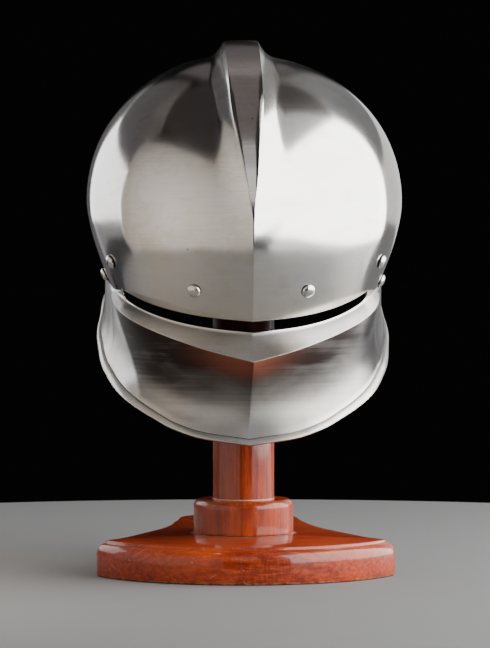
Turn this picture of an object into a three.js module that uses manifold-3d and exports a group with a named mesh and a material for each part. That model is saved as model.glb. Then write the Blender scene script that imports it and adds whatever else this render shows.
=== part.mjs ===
// A one-piece steel sallet on a turned wooden stand. Millimetres, +X right, +Y back, +Z up.
// The origin is on the post's axis, on the underside of the stand's base.
import * as THREE from "three";
import { mergeVertices } from "three/addons/utils/BufferGeometryUtils.js";
import Module from "manifold-3d";

const wasm = await Module();
wasm.setup();

// How the helmet sits on the post: tipped forward, with its own zero height this high on the axis
const PITCH = THREE.MathUtils.degToRad(20);
const LIP_HEIGHT = 215.6;
const WALL = 2;
const GAP = 0.3;

// The bowl, in the helmet's own frame: side to the right, back to the rear, up from near the sight
const BOWL = {
  middle: 50,
  rise: 97.4,
  fullness: 0.89,
  halfWidth: 112.4,
  frontLength: 131,
  backLength: 132,
  setBack: 6,
  skirt: 12,
  equator: 0.8,
};

// How much the bowl draws in from its middle down to the lip, as a share of its radius
const TAPER = { side: 0.114, front: 0.046, back: 0.09, power: 1.55 };

// The medial comb along the crown: 0 degrees is the brow, 90 the crown, 180 the nape
const COMB = [
  { angle: 0, flat: 0, height: 3, fillet: 32, lean: 2.5 },
  { angle: 15, flat: 0, height: 3.8, fillet: 28, lean: 2.5 },
  { angle: 26, flat: 2.4, height: 5.4, fillet: 23, lean: 2 },
  { angle: 44, flat: 8, height: 7.8, fillet: 17, lean: 0.5 },
  { angle: 65, flat: 11.5, height: 9.6, fillet: 14, lean: -1 },
  { angle: 105, flat: 12, height: 10.4, fillet: 13, lean: -2 },
  { angle: 140, flat: 10, height: 8.6, fillet: 16, lean: -1 },
  { angle: 165, flat: 4, height: 5, fillet: 23, lean: 0 },
  { angle: 180, flat: 0, height: 2.6, fillet: 28, lean: 0 },
];
// The comb was beaten by hand a little out of the middle, and this much of the skin leans with it
const LEAN_REACH = 90;
const COMB_HOLLOW = 2.3;
const COMB_LINES = [0, 0.22, 0.55, 1];
const KEEL_LINE = 1.3;

// The ledge under the sight, by plan angle from the front: how far it stands out, and its height
const LEDGE = [
  { angle: 0, overhang: 22, up: -13.2 },
  { angle: 7, overhang: 22, up: -10.8 },
  { angle: 21, overhang: 19.6, up: -6 },
  { angle: 34, overhang: 18, up: -3 },
  { angle: 46, overhang: 14.6, up: -1.9 },
  { angle: 56, overhang: 8.8, up: -1.7 },
  { angle: 63, overhang: 3.8, up: -2.4 },
  { angle: 70, overhang: 0.5, up: -4.6 },
  { angle: 80, overhang: 0, up: -7 },
  { angle: 180, overhang: 0, up: -7 },
];
const LEDGE_ROOT = -2.2;

// The lower edge, from the middle of the face round to the tip of the tail
const RIM = [
  { side: 0, back: -151, up: -70.9 },
  { side: 29, back: -146, up: -70.2 },
  { side: 52, back: -135.5, up: -66.8 },
  { side: 66, back: -122.5, up: -64 },
  { side: 84, back: -98, up: -61 },
  { side: 98.5, back: -55, up: -58 },
  { side: 103.3, back: -12, up: -54 },
  { side: 102.5, back: 15, up: -49 },
  { side: 98, back: 58, up: -42.5 },
  { side: 88, back: 95, up: -42 },
  { side: 70, back: 130, up: -46 },
  { side: 45, back: 160, up: -53 },
  { side: 20, back: 182, up: -60 },
  { side: 0, back: 190, up: -64 },
];

// How deep the face and the tail are dished between the ledge and the rim
const DISH = [
  { angle: 0, depth: 12.6 },
  { angle: 20, depth: 12 },
  { angle: 40, depth: 11 },
  { angle: 56, depth: 8.6 },
  { angle: 66, depth: 5.6 },
  { angle: 76, depth: 3.4 },
  { angle: 90, depth: 2.2 },
  { angle: 110, depth: 2.6 },
  { angle: 135, depth: 5.5 },
  { angle: 160, depth: 9 },
  { angle: 180, depth: 10 },
];
const DISH_DEEPEST = 0.64;
const FACE_ROWS = [0.12, 0.26, 0.4, 0.53, 0.66, 0.78, 0.88];

// The hem folded outward round the rim: distance up from the rim and how far it stands out
const HEM = [
  { above: 4.3, out: 0 },
  { above: 4.2, out: 1.6 },
  { above: 2.2, out: 2.1 },
  { above: 0.4, out: 1.5 },
  { above: -0.3, out: 0.1 },
];

// The sight: one slot right across the front
const SIGHT = { top: 7.3, bottom: -1.6, rear: -60.5, front: -200, halfReach: 150, roundSteps: 12 };

// Domed rivets with a shank through the wall and a peened end inside, and the dome's profile
const RIVET = { head: 4.9, dome: 3, shank: 2.2, end: 3.4, endThick: 1.2, sides: 8, hole: 2.5, seatDeep: 2 };
const DOME_ROWS = [
  { out: 0.86, up: 0.56 },
  { out: 0.5, up: 0.88 },
  { out: 0, up: 1 },
];
const PEENED_SHARE = 0.8;
const LINING_RIVET_UP = 26.6;
const LINING_RIVETS_AT = [40.5, 121.5, 208.5, 288];
const STRAP_RIVETS = [
  { name: "strap_rivet_right", side: 1, back: -31, up: 0.5 },
  { name: "strap_rivet_left", side: -1, back: -18, up: 1 },
];

// Quarter of the columns that run from the crown down to the rim
const CELLS = 22;
const COMB_CELLS = COMB_LINES.length;

// The stand
const BASE = { thick: 25.3, arcRadius: 116.5, arcBack: -8.5, arcEnd: THREE.MathUtils.degToRad(-29), pieces: 3 };
const BASE_CORNER = { side: 108.5, back: -55, endSide: 101, endBack: -50 };
const BASE_SIDE = [
  { side: 92, back: -36 },
  { side: 80, back: -5 },
  { side: 73, back: 14 },
  { side: 64, back: 40 },
  { side: 57, back: 72 },
  { side: 52, back: 110 },
  { side: 50, back: 134 },
  { side: 42, back: 152 },
  { side: 26, back: 165 },
  { side: 0, back: 170 },
];
const BASE_EDGE = [
  { inset: 1.5, up: 0 },
  { inset: 0, up: 1.5 },
  { inset: 0, up: 16 },
  { inset: 0.8, up: 19.4 },
  { inset: 2.9, up: 22 },
  { inset: 6.5, up: 23.4 },
  { inset: 6.5, up: BASE.thick },
];
const COLLAR = { radius: 35.8, top: 50, round: 5 };
const POST = { radius: 22, headRadius: 70, headRound: 3, reach: 28 };
const POST_HEAD_ROWS = [0.66, 0.33, 0];
const TURNED_SIDES = 28;

const STEEL = { color: 0xb9b6ae, roughness: 0.32, metalness: 1 };
const RIVET_STEEL = { color: 0xc2bfb7, roughness: 0.28, metalness: 1 };
const WOOD = { color: 0x8a2f18, roughness: 0.3, metalness: 0 };

// A smooth value from a table, without overshoot between its rows
function through(rows, key, column, at) {
  const last = rows.length - 1;
  const x = Math.min(Math.max(at, rows[0][key]), rows[last][key]);
  let i = 0;
  while (i < last - 1 && x > rows[i + 1][key]) i += 1;
  const secant = (k) => (rows[k + 1][column] - rows[k][column]) / (rows[k + 1][key] - rows[k][key]);
  const slope = (k) => {
    if (k === 0) return secant(0);
    if (k === last) return secant(last - 1);
    const before = secant(k - 1);
    const after = secant(k);
    return before * after <= 0 ? 0 : (2 * before * after) / (before + after);
  };
  const span = rows[i + 1][key] - rows[i][key];
  const t = (x - rows[i][key]) / span;
  const near = rows[i][column];
  const far = rows[i + 1][column];
  const rise = 3 * t * t - 2 * t * t * t;
  const bend = slope(i) * (t - 2 * t * t + t * t * t) + slope(i + 1) * (t * t * t - t * t);
  return near + (far - near) * rise + span * bend;
}

const toDegrees = THREE.MathUtils.radToDeg;
const planAngle = (side, back) => toDegrees(Math.atan2(Math.abs(side), -back));
const RIM_BY_ANGLE = RIM.map(({ side, back, up }) => ({
  angle: planAngle(side, back),
  radius: Math.hypot(side, back),
  up,
}));

// Angle along the crown of a point on the bowl
function combAngle(back, up) {
  const length = back < BOWL.setBack ? BOWL.frontLength : BOWL.backLength;
  const level = Math.max(0, (up - BOWL.middle) / BOWL.rise);
  return toDegrees(Math.atan2(level, (BOWL.setBack - back) / length));
}

// How far the comb stands out at a distance from the middle line
function combHeight(angle, side) {
  const flat = through(COMB, "angle", "flat", angle);
  const fillet = through(COMB, "angle", "fillet", angle);
  const down = Math.min(1, Math.max(0, (Math.abs(side) - flat) / fillet));
  return through(COMB, "angle", "height", angle) * (1 - down) ** COMB_HOLLOW;
}

// A point of the bowl's skin: reach is 0 at the crown and 1 at the skirt, heading is round from the front
function bowlPoint(reach, heading, upBelow = null) {
  const { middle, rise, fullness, halfWidth, frontLength, backLength, setBack, skirt, equator } = BOWL;
  const forward = Math.cos(heading);
  let spread = 1;
  let up = middle;
  if (upBelow === null && reach <= equator) {
    const fall = (reach / equator) * (Math.PI / 2);
    spread = Math.sin(fall) ** fullness;
    up = middle + rise * Math.cos(fall);
  } else {
    up = upBelow ?? middle - ((middle - skirt) * (reach - equator)) / (1 - equator);
    const ends = forward > 0 ? TAPER.front : TAPER.back;
    const taper = TAPER.side + (ends - TAPER.side) * forward * forward;
    spread = 1 - taper * ((middle - up) / middle) ** TAPER.power;
  }
  const length = forward > 0 ? frontLength : backLength;
  const side = halfWidth * spread * Math.sin(heading);
  const back = setBack - length * spread * forward;
  const angle = combAngle(back, up);
  const out = combHeight(angle, side);
  const turn = THREE.MathUtils.degToRad(angle);
  const outward = new THREE.Vector2(-Math.cos(turn) / length, Math.sin(turn) / rise).normalize();
  return new THREE.Vector3(side, back + out * outward.x, up + out * outward.y);
}

// Shifts a point sideways with the comb beside it, fading out towards the sides
function leaned(point, share = 1) {
  const angle = combAngle(point.y, point.z);
  const fade = Math.max(0, 1 - (point.x / LEAN_REACH) ** 2) ** 2;
  point.x += share * fade * through(COMB, "angle", "lean", angle);
  return point;
}

// Reach and heading of a place on a square grid stretched over the bowl
function gridPlace(across, along) {
  const x = across * Math.sqrt(1 - (along * along) / 2);
  const y = along * Math.sqrt(1 - (across * across) / 2);
  return { reach: Math.min(1, Math.hypot(x, y)), heading: Math.atan2(x, -y) };
}

function gridPoint(across, along) {
  const { reach, heading } = gridPlace(across, along);
  return bowlPoint(reach, heading);
}

// Grid lines of one row, right half: first those that follow the comb, then even ones to the side
function rowLines(along) {
  const middle = gridPoint(0, along);
  const angle = combAngle(middle.y, middle.z);
  const flat = Math.max(KEEL_LINE, through(COMB, "angle", "flat", angle));
  const fillet = through(COMB, "angle", "fillet", angle);
  const lines = [0];
  for (const share of COMB_LINES) {
    const wanted = flat + fillet * share;
    let across = 0.1;
    for (let pass = 0; pass < 6; pass += 1) across *= wanted / gridPoint(across, along).x;
    lines.push(across);
  }
  const rest = CELLS / 2 - COMB_CELLS;
  const start = lines[COMB_CELLS];
  for (let i = 1; i <= rest; i += 1) lines.push(start + ((1 - start) * i) / rest);
  return lines;
}

// The square grid of bowl places, as rows from front to back
function bowlGrid() {
  const half = CELLS / 2;
  return Array.from({ length: CELLS + 1 }, (_, row) => {
    const along = (2 * row) / CELLS - 1;
    const lines = rowLines(along);
    return Array.from({ length: CELLS + 1 }, (__, column) => {
      const line = column - half;
      return gridPlace(Math.sign(line) * lines[Math.abs(line)], along);
    });
  });
}

// Row and column of each place round the grid's edge, once round from the front left corner
function gridEdge() {
  const edge = [];
  for (let i = 0; i < CELLS; i += 1) edge.push([0, i]);
  for (let i = 0; i < CELLS; i += 1) edge.push([i, CELLS]);
  for (let i = 0; i < CELLS; i += 1) edge.push([CELLS, CELLS - i]);
  for (let i = 0; i < CELLS; i += 1) edge.push([CELLS - i, 0]);
  return edge;
}

// The places that one column passes below the bowl: ledge root, ledge, face, and what the hem needs
function columnBelow(heading) {
  const root = bowlPoint(1, heading, LEDGE_ROOT);
  const angle = planAngle(root.x, root.y);
  const out = new THREE.Vector2(root.x, root.y).normalize();
  const rootRadius = Math.hypot(root.x, root.y);
  const edge = { radius: rootRadius + through(LEDGE, "angle", "overhang", angle) };
  edge.up = through(LEDGE, "angle", "up", angle);
  const rim = { radius: through(RIM_BY_ANGLE, "angle", "radius", angle) };
  rim.up = through(RIM_BY_ANGLE, "angle", "up", angle);
  const chord = new THREE.Vector2(rim.radius - edge.radius, rim.up - edge.up);
  const length = chord.length();
  chord.normalize();
  const inward = new THREE.Vector2(chord.y, -chord.x);
  const depth = through(DISH, "angle", "depth", angle);
  const power = Math.log(0.5) / Math.log(DISH_DEEPEST);
  const at = (share, lift = 0) => {
    const dish = depth * Math.sin(Math.PI * Math.min(1, share) ** power) - lift;
    const radius = edge.radius + chord.x * length * share + inward.x * dish;
    const up = edge.up + chord.y * length * share + inward.y * dish;
    return new THREE.Vector3(out.x * radius, out.y * radius, up);
  };
  const ledge = [0.5, 1].map((share) => {
    const radius = rootRadius + (edge.radius - rootRadius) * share;
    const up = root.z + (edge.up - root.z) * share;
    return new THREE.Vector3(out.x * radius, out.y * radius, up);
  });
  const face = FACE_ROWS.map((share) => at(share));
  const hem = HEM.map(({ above, out: lift }) => at(1 - above / length, lift));
  const shelf = [root, ...ledge].map((point) => leaned(point));
  const dished = face.map((point, i) => leaned(point, 1 - FACE_ROWS[i]));
  return { skin: [...shelf, ...dished, at(1)], hem };
}

// Vertex normals of an indexed set of triangles
function normalsOf(points, triangles) {
  const normals = points.map(() => new THREE.Vector3());
  for (const [a, b, c] of triangles) {
    const ab = points[b].clone().sub(points[a]);
    const ac = points[c].clone().sub(points[a]);
    const face = ab.cross(ac);
    for (const i of [a, b, c]) normals[i].add(face);
  }
  return normals.map((n) => n.normalize());
}

const quad = (a, b, c, d) => [[a, b, c], [a, c, d]];

// The whole steel skin before its sight and rivet holes are cut
function skullShell() {
  const grid = bowlGrid();
  const points = [];
  const cell = grid.map((row) => row.map(({ reach, heading }) => {
    points.push(leaned(bowlPoint(reach, heading)));
    return points.length - 1;
  }));
  const skinFaces = [];
  for (let row = 0; row < CELLS; row += 1) {
    for (let i = 0; i < CELLS; i += 1) {
      skinFaces.push(...quad(cell[row][i], cell[row][i + 1], cell[row + 1][i + 1], cell[row + 1][i]));
    }
  }
  const edge = gridEdge();
  const columns = edge.map(([row, i]) => columnBelow(grid[row][i].heading));
  const rings = [edge.map(([row, i]) => cell[row][i])];
  for (let k = 0; k < columns[0].skin.length; k += 1) {
    rings.push(columns.map(({ skin }) => points.push(skin[k]) - 1));
  }
  const count = edge.length;
  const band = (upper, lower) => upper.flatMap((_, j) => {
    const next = (j + 1) % count;
    return quad(upper[j], lower[j], lower[next], upper[next]);
  });
  for (let k = 0; k < rings.length - 1; k += 1) skinFaces.push(...band(rings[k], rings[k + 1]));

  const normals = normalsOf(points, skinFaces);
  const skinCount = points.length;
  for (let i = 0; i < skinCount; i += 1) points.push(points[i].clone().addScaledVector(normals[i], -WALL));

  const lastBand = 2 * count;
  const outer = skinFaces.slice(0, -lastBand);
  const inner = skinFaces.map(([a, b, c]) => [a + skinCount, c + skinCount, b + skinCount]);
  const hemRings = HEM.map((_, k) => columns.map(({ hem }) => points.push(hem[k]) - 1));
  const chain = [rings[rings.length - 2], ...hemRings, rings[rings.length - 1].map((i) => i + skinCount)];
  const hem = [];
  for (let k = 0; k < chain.length - 1; k += 1) hem.push(...band(chain[k], chain[k + 1]));
  return { points, triangles: [...outer, ...hem, ...inner], innerFrom: skinCount, innerTo: 2 * skinCount };
}

function geometryOf(points, triangles) {
  const geometry = new THREE.BufferGeometry();
  const positions = new Float32Array(points.flatMap((p) => [p.x, p.y, p.z]));
  geometry.setAttribute("position", new THREE.BufferAttribute(positions, 3));
  geometry.setIndex(triangles.flat());
  return geometry;
}

// A closed mesh as a solid that can be joined and cut
function toSolid(geometry) {
  const bare = geometry.clone();
  bare.deleteAttribute("normal");
  bare.deleteAttribute("uv");
  const merged = mergeVertices(bare, 1e-4);
  const vertProperties = Float32Array.from(merged.attributes.position.array);
  const triVerts = Uint32Array.from(merged.index.array);
  return new wasm.Manifold(new wasm.Mesh({ numProp: 3, vertProperties, triVerts }));
}

function toGeometry(solid) {
  const mesh = solid.getMesh();
  const geometry = new THREE.BufferGeometry();
  geometry.setAttribute("position", new THREE.BufferAttribute(Float32Array.from(mesh.vertProperties), 3));
  geometry.setIndex(new THREE.BufferAttribute(Uint32Array.from(mesh.triVerts), 1));
  geometry.computeVertexNormals();
  return geometry;
}

// A solid turned about its own upright axis, from a profile of radius and height
function turned(profile, sides) {
  const points = profile.map(([radius, up]) => new THREE.Vector2(radius, up));
  const lathe = new THREE.LatheGeometry(points, sides);
  lathe.rotateX(Math.PI / 2);
  return toGeometry(toSolid(lathe));
}

// The sight's cutter: a slab with a round rear edge, run right across the helmet
function sightCutter() {
  const { top, bottom, rear, front, halfReach, roundSteps } = SIGHT;
  const radius = (top - bottom) / 2;
  const shape = new THREE.Shape();
  shape.moveTo(front, bottom);
  shape.lineTo(rear - radius, bottom);
  shape.absarc(rear - radius, bottom + radius, radius, -Math.PI / 2, Math.PI / 2, false);
  shape.lineTo(front, top);
  const options = { depth: 2 * halfReach, bevelEnabled: false, curveSegments: roundSteps };
  const slab = new THREE.ExtrudeGeometry(shape, options);
  slab.translate(0, 0, -halfReach);
  // The shape's plane becomes back and up, and its depth becomes side
  const axes = new THREE.Matrix4().makeBasis(
    new THREE.Vector3(0, 1, 0),
    new THREE.Vector3(0, 0, 1),
    new THREE.Vector3(1, 0, 0),
  );
  slab.applyMatrix4(axes);
  return toSolid(slab);
}

// Place and outward direction of a point on the bowl below its middle
function skinSpot(heading, up) {
  const step = 0.02;
  const place = leaned(bowlPoint(1, heading, up));
  const round = bowlPoint(1, heading + step, up).sub(bowlPoint(1, heading - step, up));
  const rise = bowlPoint(1, heading, up + 1).sub(bowlPoint(1, heading, up - 1));
  return { place, normal: round.cross(rise).normalize() };
}

// Headings at even steps along the skin on one side, the first half a step from the middle of the brow
function liningHeadings() {
  const found = [];
  const step = 0.002;
  let travelled = 0;
  let before = bowlPoint(1, 0, LINING_RIVET_UP);
  for (let heading = step; heading < Math.PI && found.length < LINING_RIVETS_AT.length; heading += step) {
    const here = bowlPoint(1, heading, LINING_RIVET_UP);
    travelled += here.distanceTo(before);
    before = here;
    if (travelled > LINING_RIVETS_AT[found.length]) found.push(heading);
  }
  return found;
}

function rivetSpots() {
  const spots = [];
  liningHeadings().forEach((heading, i) => {
    spots.push({ name: `lining_rivet_right_${i + 1}`, ...skinSpot(heading, LINING_RIVET_UP) });
    spots.push({ name: `lining_rivet_left_${i + 1}`, ...skinSpot(-heading, LINING_RIVET_UP) });
  });
  spots.push({ name: "lining_rivet_rear", ...skinSpot(Math.PI, LINING_RIVET_UP) });
  for (const { name, side, back, up } of STRAP_RIVETS) {
    const heading = Math.acos((BOWL.setBack - back) / BOWL.frontLength);
    spots.push({ name, ...skinSpot(side * heading, up) });
  }
  return spots;
}

function aimAlong(object, { place, normal }) {
  object.position.copy(place);
  object.quaternion.setFromUnitVectors(new THREE.Vector3(0, 0, 1), normal);
  object.updateMatrix();
}

function rivetGeometry() {
  const { head, dome, shank, end, endThick, sides } = RIVET;
  const inside = -WALL - GAP;
  const profile = [
    [0, inside - endThick],
    [end * PEENED_SHARE, inside - endThick],
    [end, inside],
    [shank, inside],
    [shank, GAP],
    [head, GAP],
    ...DOME_ROWS.map(({ out, up }) => [head * out, GAP + dome * up]),
  ];
  return turned(profile, sides);
}

// The cutter of a rivet's hole, with a flat seat under its head and its peened end
function holeCutter(spot) {
  const { hole, head, end, seatDeep, sides } = RIVET;
  const outer = head + GAP;
  const inner = end + GAP;
  const profile = [
    [0, -WALL - seatDeep],
    [inner, -WALL - seatDeep],
    [inner, -WALL],
    [hole, -WALL],
    [hole, 0],
    [outer, 0],
    [outer, seatDeep],
    [0, seatDeep],
  ];
  const cutter = turned(profile, sides);
  const frame = new THREE.Object3D();
  aimAlong(frame, spot);
  cutter.applyMatrix4(frame.matrix);
  return toSolid(cutter);
}

function skullGeometry(shell, spots) {
  let solid = toSolid(geometryOf(shell.points, shell.triangles)).subtract(sightCutter());
  for (const spot of spots) solid = solid.subtract(holeCutter(spot));
  return toGeometry(solid);
}

// Stacks rings of equal length into one closed solid, with flat ends fanned from the axis
function stack(rings) {
  const count = rings[0].length;
  const points = rings.flat();
  const triangles = [];
  for (let k = 0; k < rings.length - 1; k += 1) {
    for (let j = 0; j < count; j += 1) {
      const next = (j + 1) % count;
      const low = k * count;
      const high = low + count;
      triangles.push(...quad(low + j, low + next, high + next, high + j));
    }
  }
  const bottom = points.push(new THREE.Vector3(0, 0, rings[0][0].z)) - 1;
  const top = points.push(new THREE.Vector3(0, 0, rings[rings.length - 1][0].z)) - 1;
  const last = (rings.length - 1) * count;
  for (let j = 0; j < count; j += 1) {
    const next = (j + 1) % count;
    triangles.push([bottom, next, j]);
    triangles.push([top, last + j, last + next]);
  }
  return geometryOf(points, triangles);
}

// The base's outline, once round to the left: a front arc, two corners, hollow sides and a round rear end
function baseOutline() {
  const half = new THREE.Path();
  half.absarc(0, BASE.arcBack, BASE.arcRadius, -Math.PI / 2, BASE.arcEnd, false);
  half.quadraticCurveTo(BASE_CORNER.side, BASE_CORNER.back, BASE_CORNER.endSide, BASE_CORNER.endBack);
  half.splineThru(BASE_SIDE.map(({ side, back }) => new THREE.Vector2(side, back)));
  const right = half.getPoints(BASE.pieces).filter((p, i, all) => i === 0 || p.distanceTo(all[i - 1]) > 0.5);
  const left = right.slice(1, -1).reverse().map((p) => new THREE.Vector2(-p.x, p.y));
  return [...right, ...left];
}

// The outline moved inward by an even distance
function insetOutline(outline, inset) {
  const count = outline.length;
  return outline.map((point, i) => {
    const along = outline[(i + 1) % count].clone().sub(outline[(i + count - 1) % count]).normalize();
    return new THREE.Vector2(point.x - along.y * inset, point.y + along.x * inset);
  });
}

function baseGeometry() {
  const outline = baseOutline();
  return stack(BASE_EDGE.map(({ inset, up }) => (
    insetOutline(outline, inset).map((p) => new THREE.Vector3(p.x, p.y, up))
  )));
}

// A rounded outer corner in a turned profile, from the side up to the top
function roundCorner(radius, top, round, steps = 4) {
  return Array.from({ length: steps + 1 }, (_, i) => {
    const turn = ((Math.PI / 2) * i) / steps;
    return [radius - round + round * Math.cos(turn), top - round + round * Math.sin(turn)];
  });
}

function collarGeometry() {
  const foot = BASE.thick + GAP;
  const bore = POST.radius + GAP;
  const { radius, top, round } = COLLAR;
  const profile = [[bore, foot], [radius, foot], ...roundCorner(radius, top, round), [bore, top], [bore, foot]];
  return turned(profile, TURNED_SIDES);
}

// How far the post's rounded head lies below its own tip at a distance from the axis
const headFall = (distance) => distance ** 2 / (2 * POST.headRadius);

// Height of the post's tip when its head just clears the inside of the crown
function postTop(shell) {
  const tilt = new THREE.Matrix4().makeRotationX(PITCH).setPosition(0, 0, LIP_HEIGHT);
  let top = Infinity;
  for (let i = shell.innerFrom; i < shell.innerTo; i += 1) {
    const point = shell.points[i].clone().applyMatrix4(tilt);
    const distance = Math.hypot(point.x, point.y);
    if (distance < POST.reach && point.z > LIP_HEIGHT + BOWL.rise) {
      top = Math.min(top, point.z + headFall(Math.min(distance, POST.radius)));
    }
  }
  return top - 2 * GAP;
}

function postGeometry(top) {
  const foot = BASE.thick + GAP;
  const { radius, headRound } = POST;
  const flatTo = radius - headRound;
  const shoulder = top - headFall(flatTo);
  const profile = [
    [0, foot],
    [radius, foot],
    ...roundCorner(radius, shoulder, headRound, 3),
    ...POST_HEAD_ROWS.map((share) => [flatTo * share, top - headFall(flatTo * share)]),
  ];
  return turned(profile, TURNED_SIDES);
}

function piece(name, geometry, look) {
  const mesh = new THREE.Mesh(geometry, new THREE.MeshStandardMaterial(look));
  mesh.name = name;
  return mesh;
}

const shell = skullShell();
const spots = rivetSpots();

const helmet = new THREE.Group();
helmet.rotation.x = PITCH;
helmet.position.z = LIP_HEIGHT;
helmet.add(piece("skull", skullGeometry(shell, spots), STEEL));
for (const spot of spots) {
  const rivet = piece(spot.name, rivetGeometry(), RIVET_STEEL);
  aimAlong(rivet, spot);
  helmet.add(rivet);
}

const stand = new THREE.Group();
stand.add(piece("stand_base", baseGeometry(), WOOD));
stand.add(piece("stand_collar", collarGeometry(), WOOD));
stand.add(piece("stand_post", postGeometry(postTop(shell)), WOOD));

const group = new THREE.Group();
group.add(helmet, stand);

export default group;
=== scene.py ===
"""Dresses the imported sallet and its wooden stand, and lights them in a small studio.

The helmet's own frame has side to the right, back to the rear and up from near the sight,
in millimetres. Its skin is worked out there and then tipped forward on the post, in metres.
"""
import logging
import math
from dataclasses import dataclass, field, replace
from enum import Enum
from functools import cached_property, reduce

import bmesh
import bpy
import numpy as np
from mathutils import Matrix, Vector, noise


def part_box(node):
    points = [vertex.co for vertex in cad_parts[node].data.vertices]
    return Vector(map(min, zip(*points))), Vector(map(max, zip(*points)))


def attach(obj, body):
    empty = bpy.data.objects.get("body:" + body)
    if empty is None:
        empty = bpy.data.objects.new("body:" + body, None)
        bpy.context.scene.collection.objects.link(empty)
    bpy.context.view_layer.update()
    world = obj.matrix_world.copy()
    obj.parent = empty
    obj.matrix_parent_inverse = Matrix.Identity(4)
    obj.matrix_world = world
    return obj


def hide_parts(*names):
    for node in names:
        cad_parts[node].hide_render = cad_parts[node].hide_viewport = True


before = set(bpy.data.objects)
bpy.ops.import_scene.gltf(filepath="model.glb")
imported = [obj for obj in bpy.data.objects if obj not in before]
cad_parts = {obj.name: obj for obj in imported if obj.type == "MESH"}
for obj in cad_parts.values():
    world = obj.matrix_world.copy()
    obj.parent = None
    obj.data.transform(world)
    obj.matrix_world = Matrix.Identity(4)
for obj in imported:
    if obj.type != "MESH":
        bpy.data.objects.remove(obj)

LOG = logging.getLogger("sallet")
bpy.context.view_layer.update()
MM = 0.001
GAP = 0.3

Pair = tuple[float, float]
Triple = tuple[float, float, float]
Range = tuple[float, float, float, float]
Table = tuple[tuple[float, ...], ...]
Spots = dict[str, tuple[np.ndarray, np.ndarray]]
Socket = bpy.types.NodeSocket


@dataclass(frozen=True)
class Profile:
    """A smooth value from a short table, without overshoot between its rows."""

    keys: tuple[float, ...]
    values: tuple[float, ...]

    def at(self, place: np.ndarray | float) -> np.ndarray:
        """Reads the table at one or many places.

        Args:
            place: Where to read, in the units of the keys.

        Returns:
            The values there.
        """
        keys = np.array(self.keys)
        values = np.array(self.values)
        x = np.clip(place, keys[0], keys[-1])
        i = np.clip(np.searchsorted(keys, x, side="right") - 1, 0, len(keys) - 2)
        secants = np.diff(values) / np.diff(keys)
        before, after = secants[:-1], secants[1:]
        total = np.where(before + after == 0, 1, before + after)
        inner = np.where(before * after > 0, 2 * before * after / total, 0)
        slopes = np.concatenate(([secants[0]], inner, [secants[-1]]))
        span = keys[i + 1] - keys[i]
        t = (x - keys[i]) / span
        rise = 3 * t ** 2 - 2 * t ** 3
        bend = slopes[i] * (t - 2 * t ** 2 + t ** 3) + slopes[i + 1] * (t ** 3 - t ** 2)
        return values[i] + (values[i + 1] - values[i]) * rise + span * bend


def columns(*rows: tuple[float, ...]) -> Table:
    """Turns rows of a table into its columns."""
    return tuple(zip(*rows))


@dataclass(frozen=True)
class Comb:
    """The medial comb along the crown: 0 degrees is the brow, 90 the crown, 180 the nape."""

    angles: tuple[float, ...] = (0, 15, 26, 44, 65, 105, 140, 165, 180)
    flats: tuple[float, ...] = (0, 0, 2.4, 8, 11.5, 12, 10, 4, 0)
    heights: tuple[float, ...] = (3, 3.8, 5.4, 7.8, 9.6, 10.4, 8.6, 5, 2.6)
    fillets: tuple[float, ...] = (32, 28, 23, 17, 14, 13, 16, 23, 28)
    leans: tuple[float, ...] = (2.5, 2.5, 2, 0.5, -1, -2, -1, 0, 0)
    hollow: float = 2.3
    keel_line: float = 1.3
    lean_reach: float = 90

    def flat(self, angle: np.ndarray) -> np.ndarray:
        """Half-width of the comb's flat top."""
        return Profile(self.angles, self.flats).at(angle)

    def fillet(self, angle: np.ndarray) -> np.ndarray:
        """Width of the hollow side from the comb's edge down to the bowl."""
        return Profile(self.angles, self.fillets).at(angle)

    def lean(self, angle: np.ndarray) -> np.ndarray:
        """Sideways shift of the comb, which was beaten by hand."""
        return Profile(self.angles, self.leans).at(angle)

    def height(self, angle: np.ndarray, side: np.ndarray) -> np.ndarray:
        """How far the comb stands out.

        Args:
            angle: Angle along the crown, in degrees.
            side: Distance from the middle line.

        Returns:
            The height above the plain bowl.
        """
        down = np.clip((np.abs(side) - self.flat(angle)) / self.fillet(angle), 0, 1)
        return Profile(self.angles, self.heights).at(angle) * (1 - down) ** self.hollow


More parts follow.
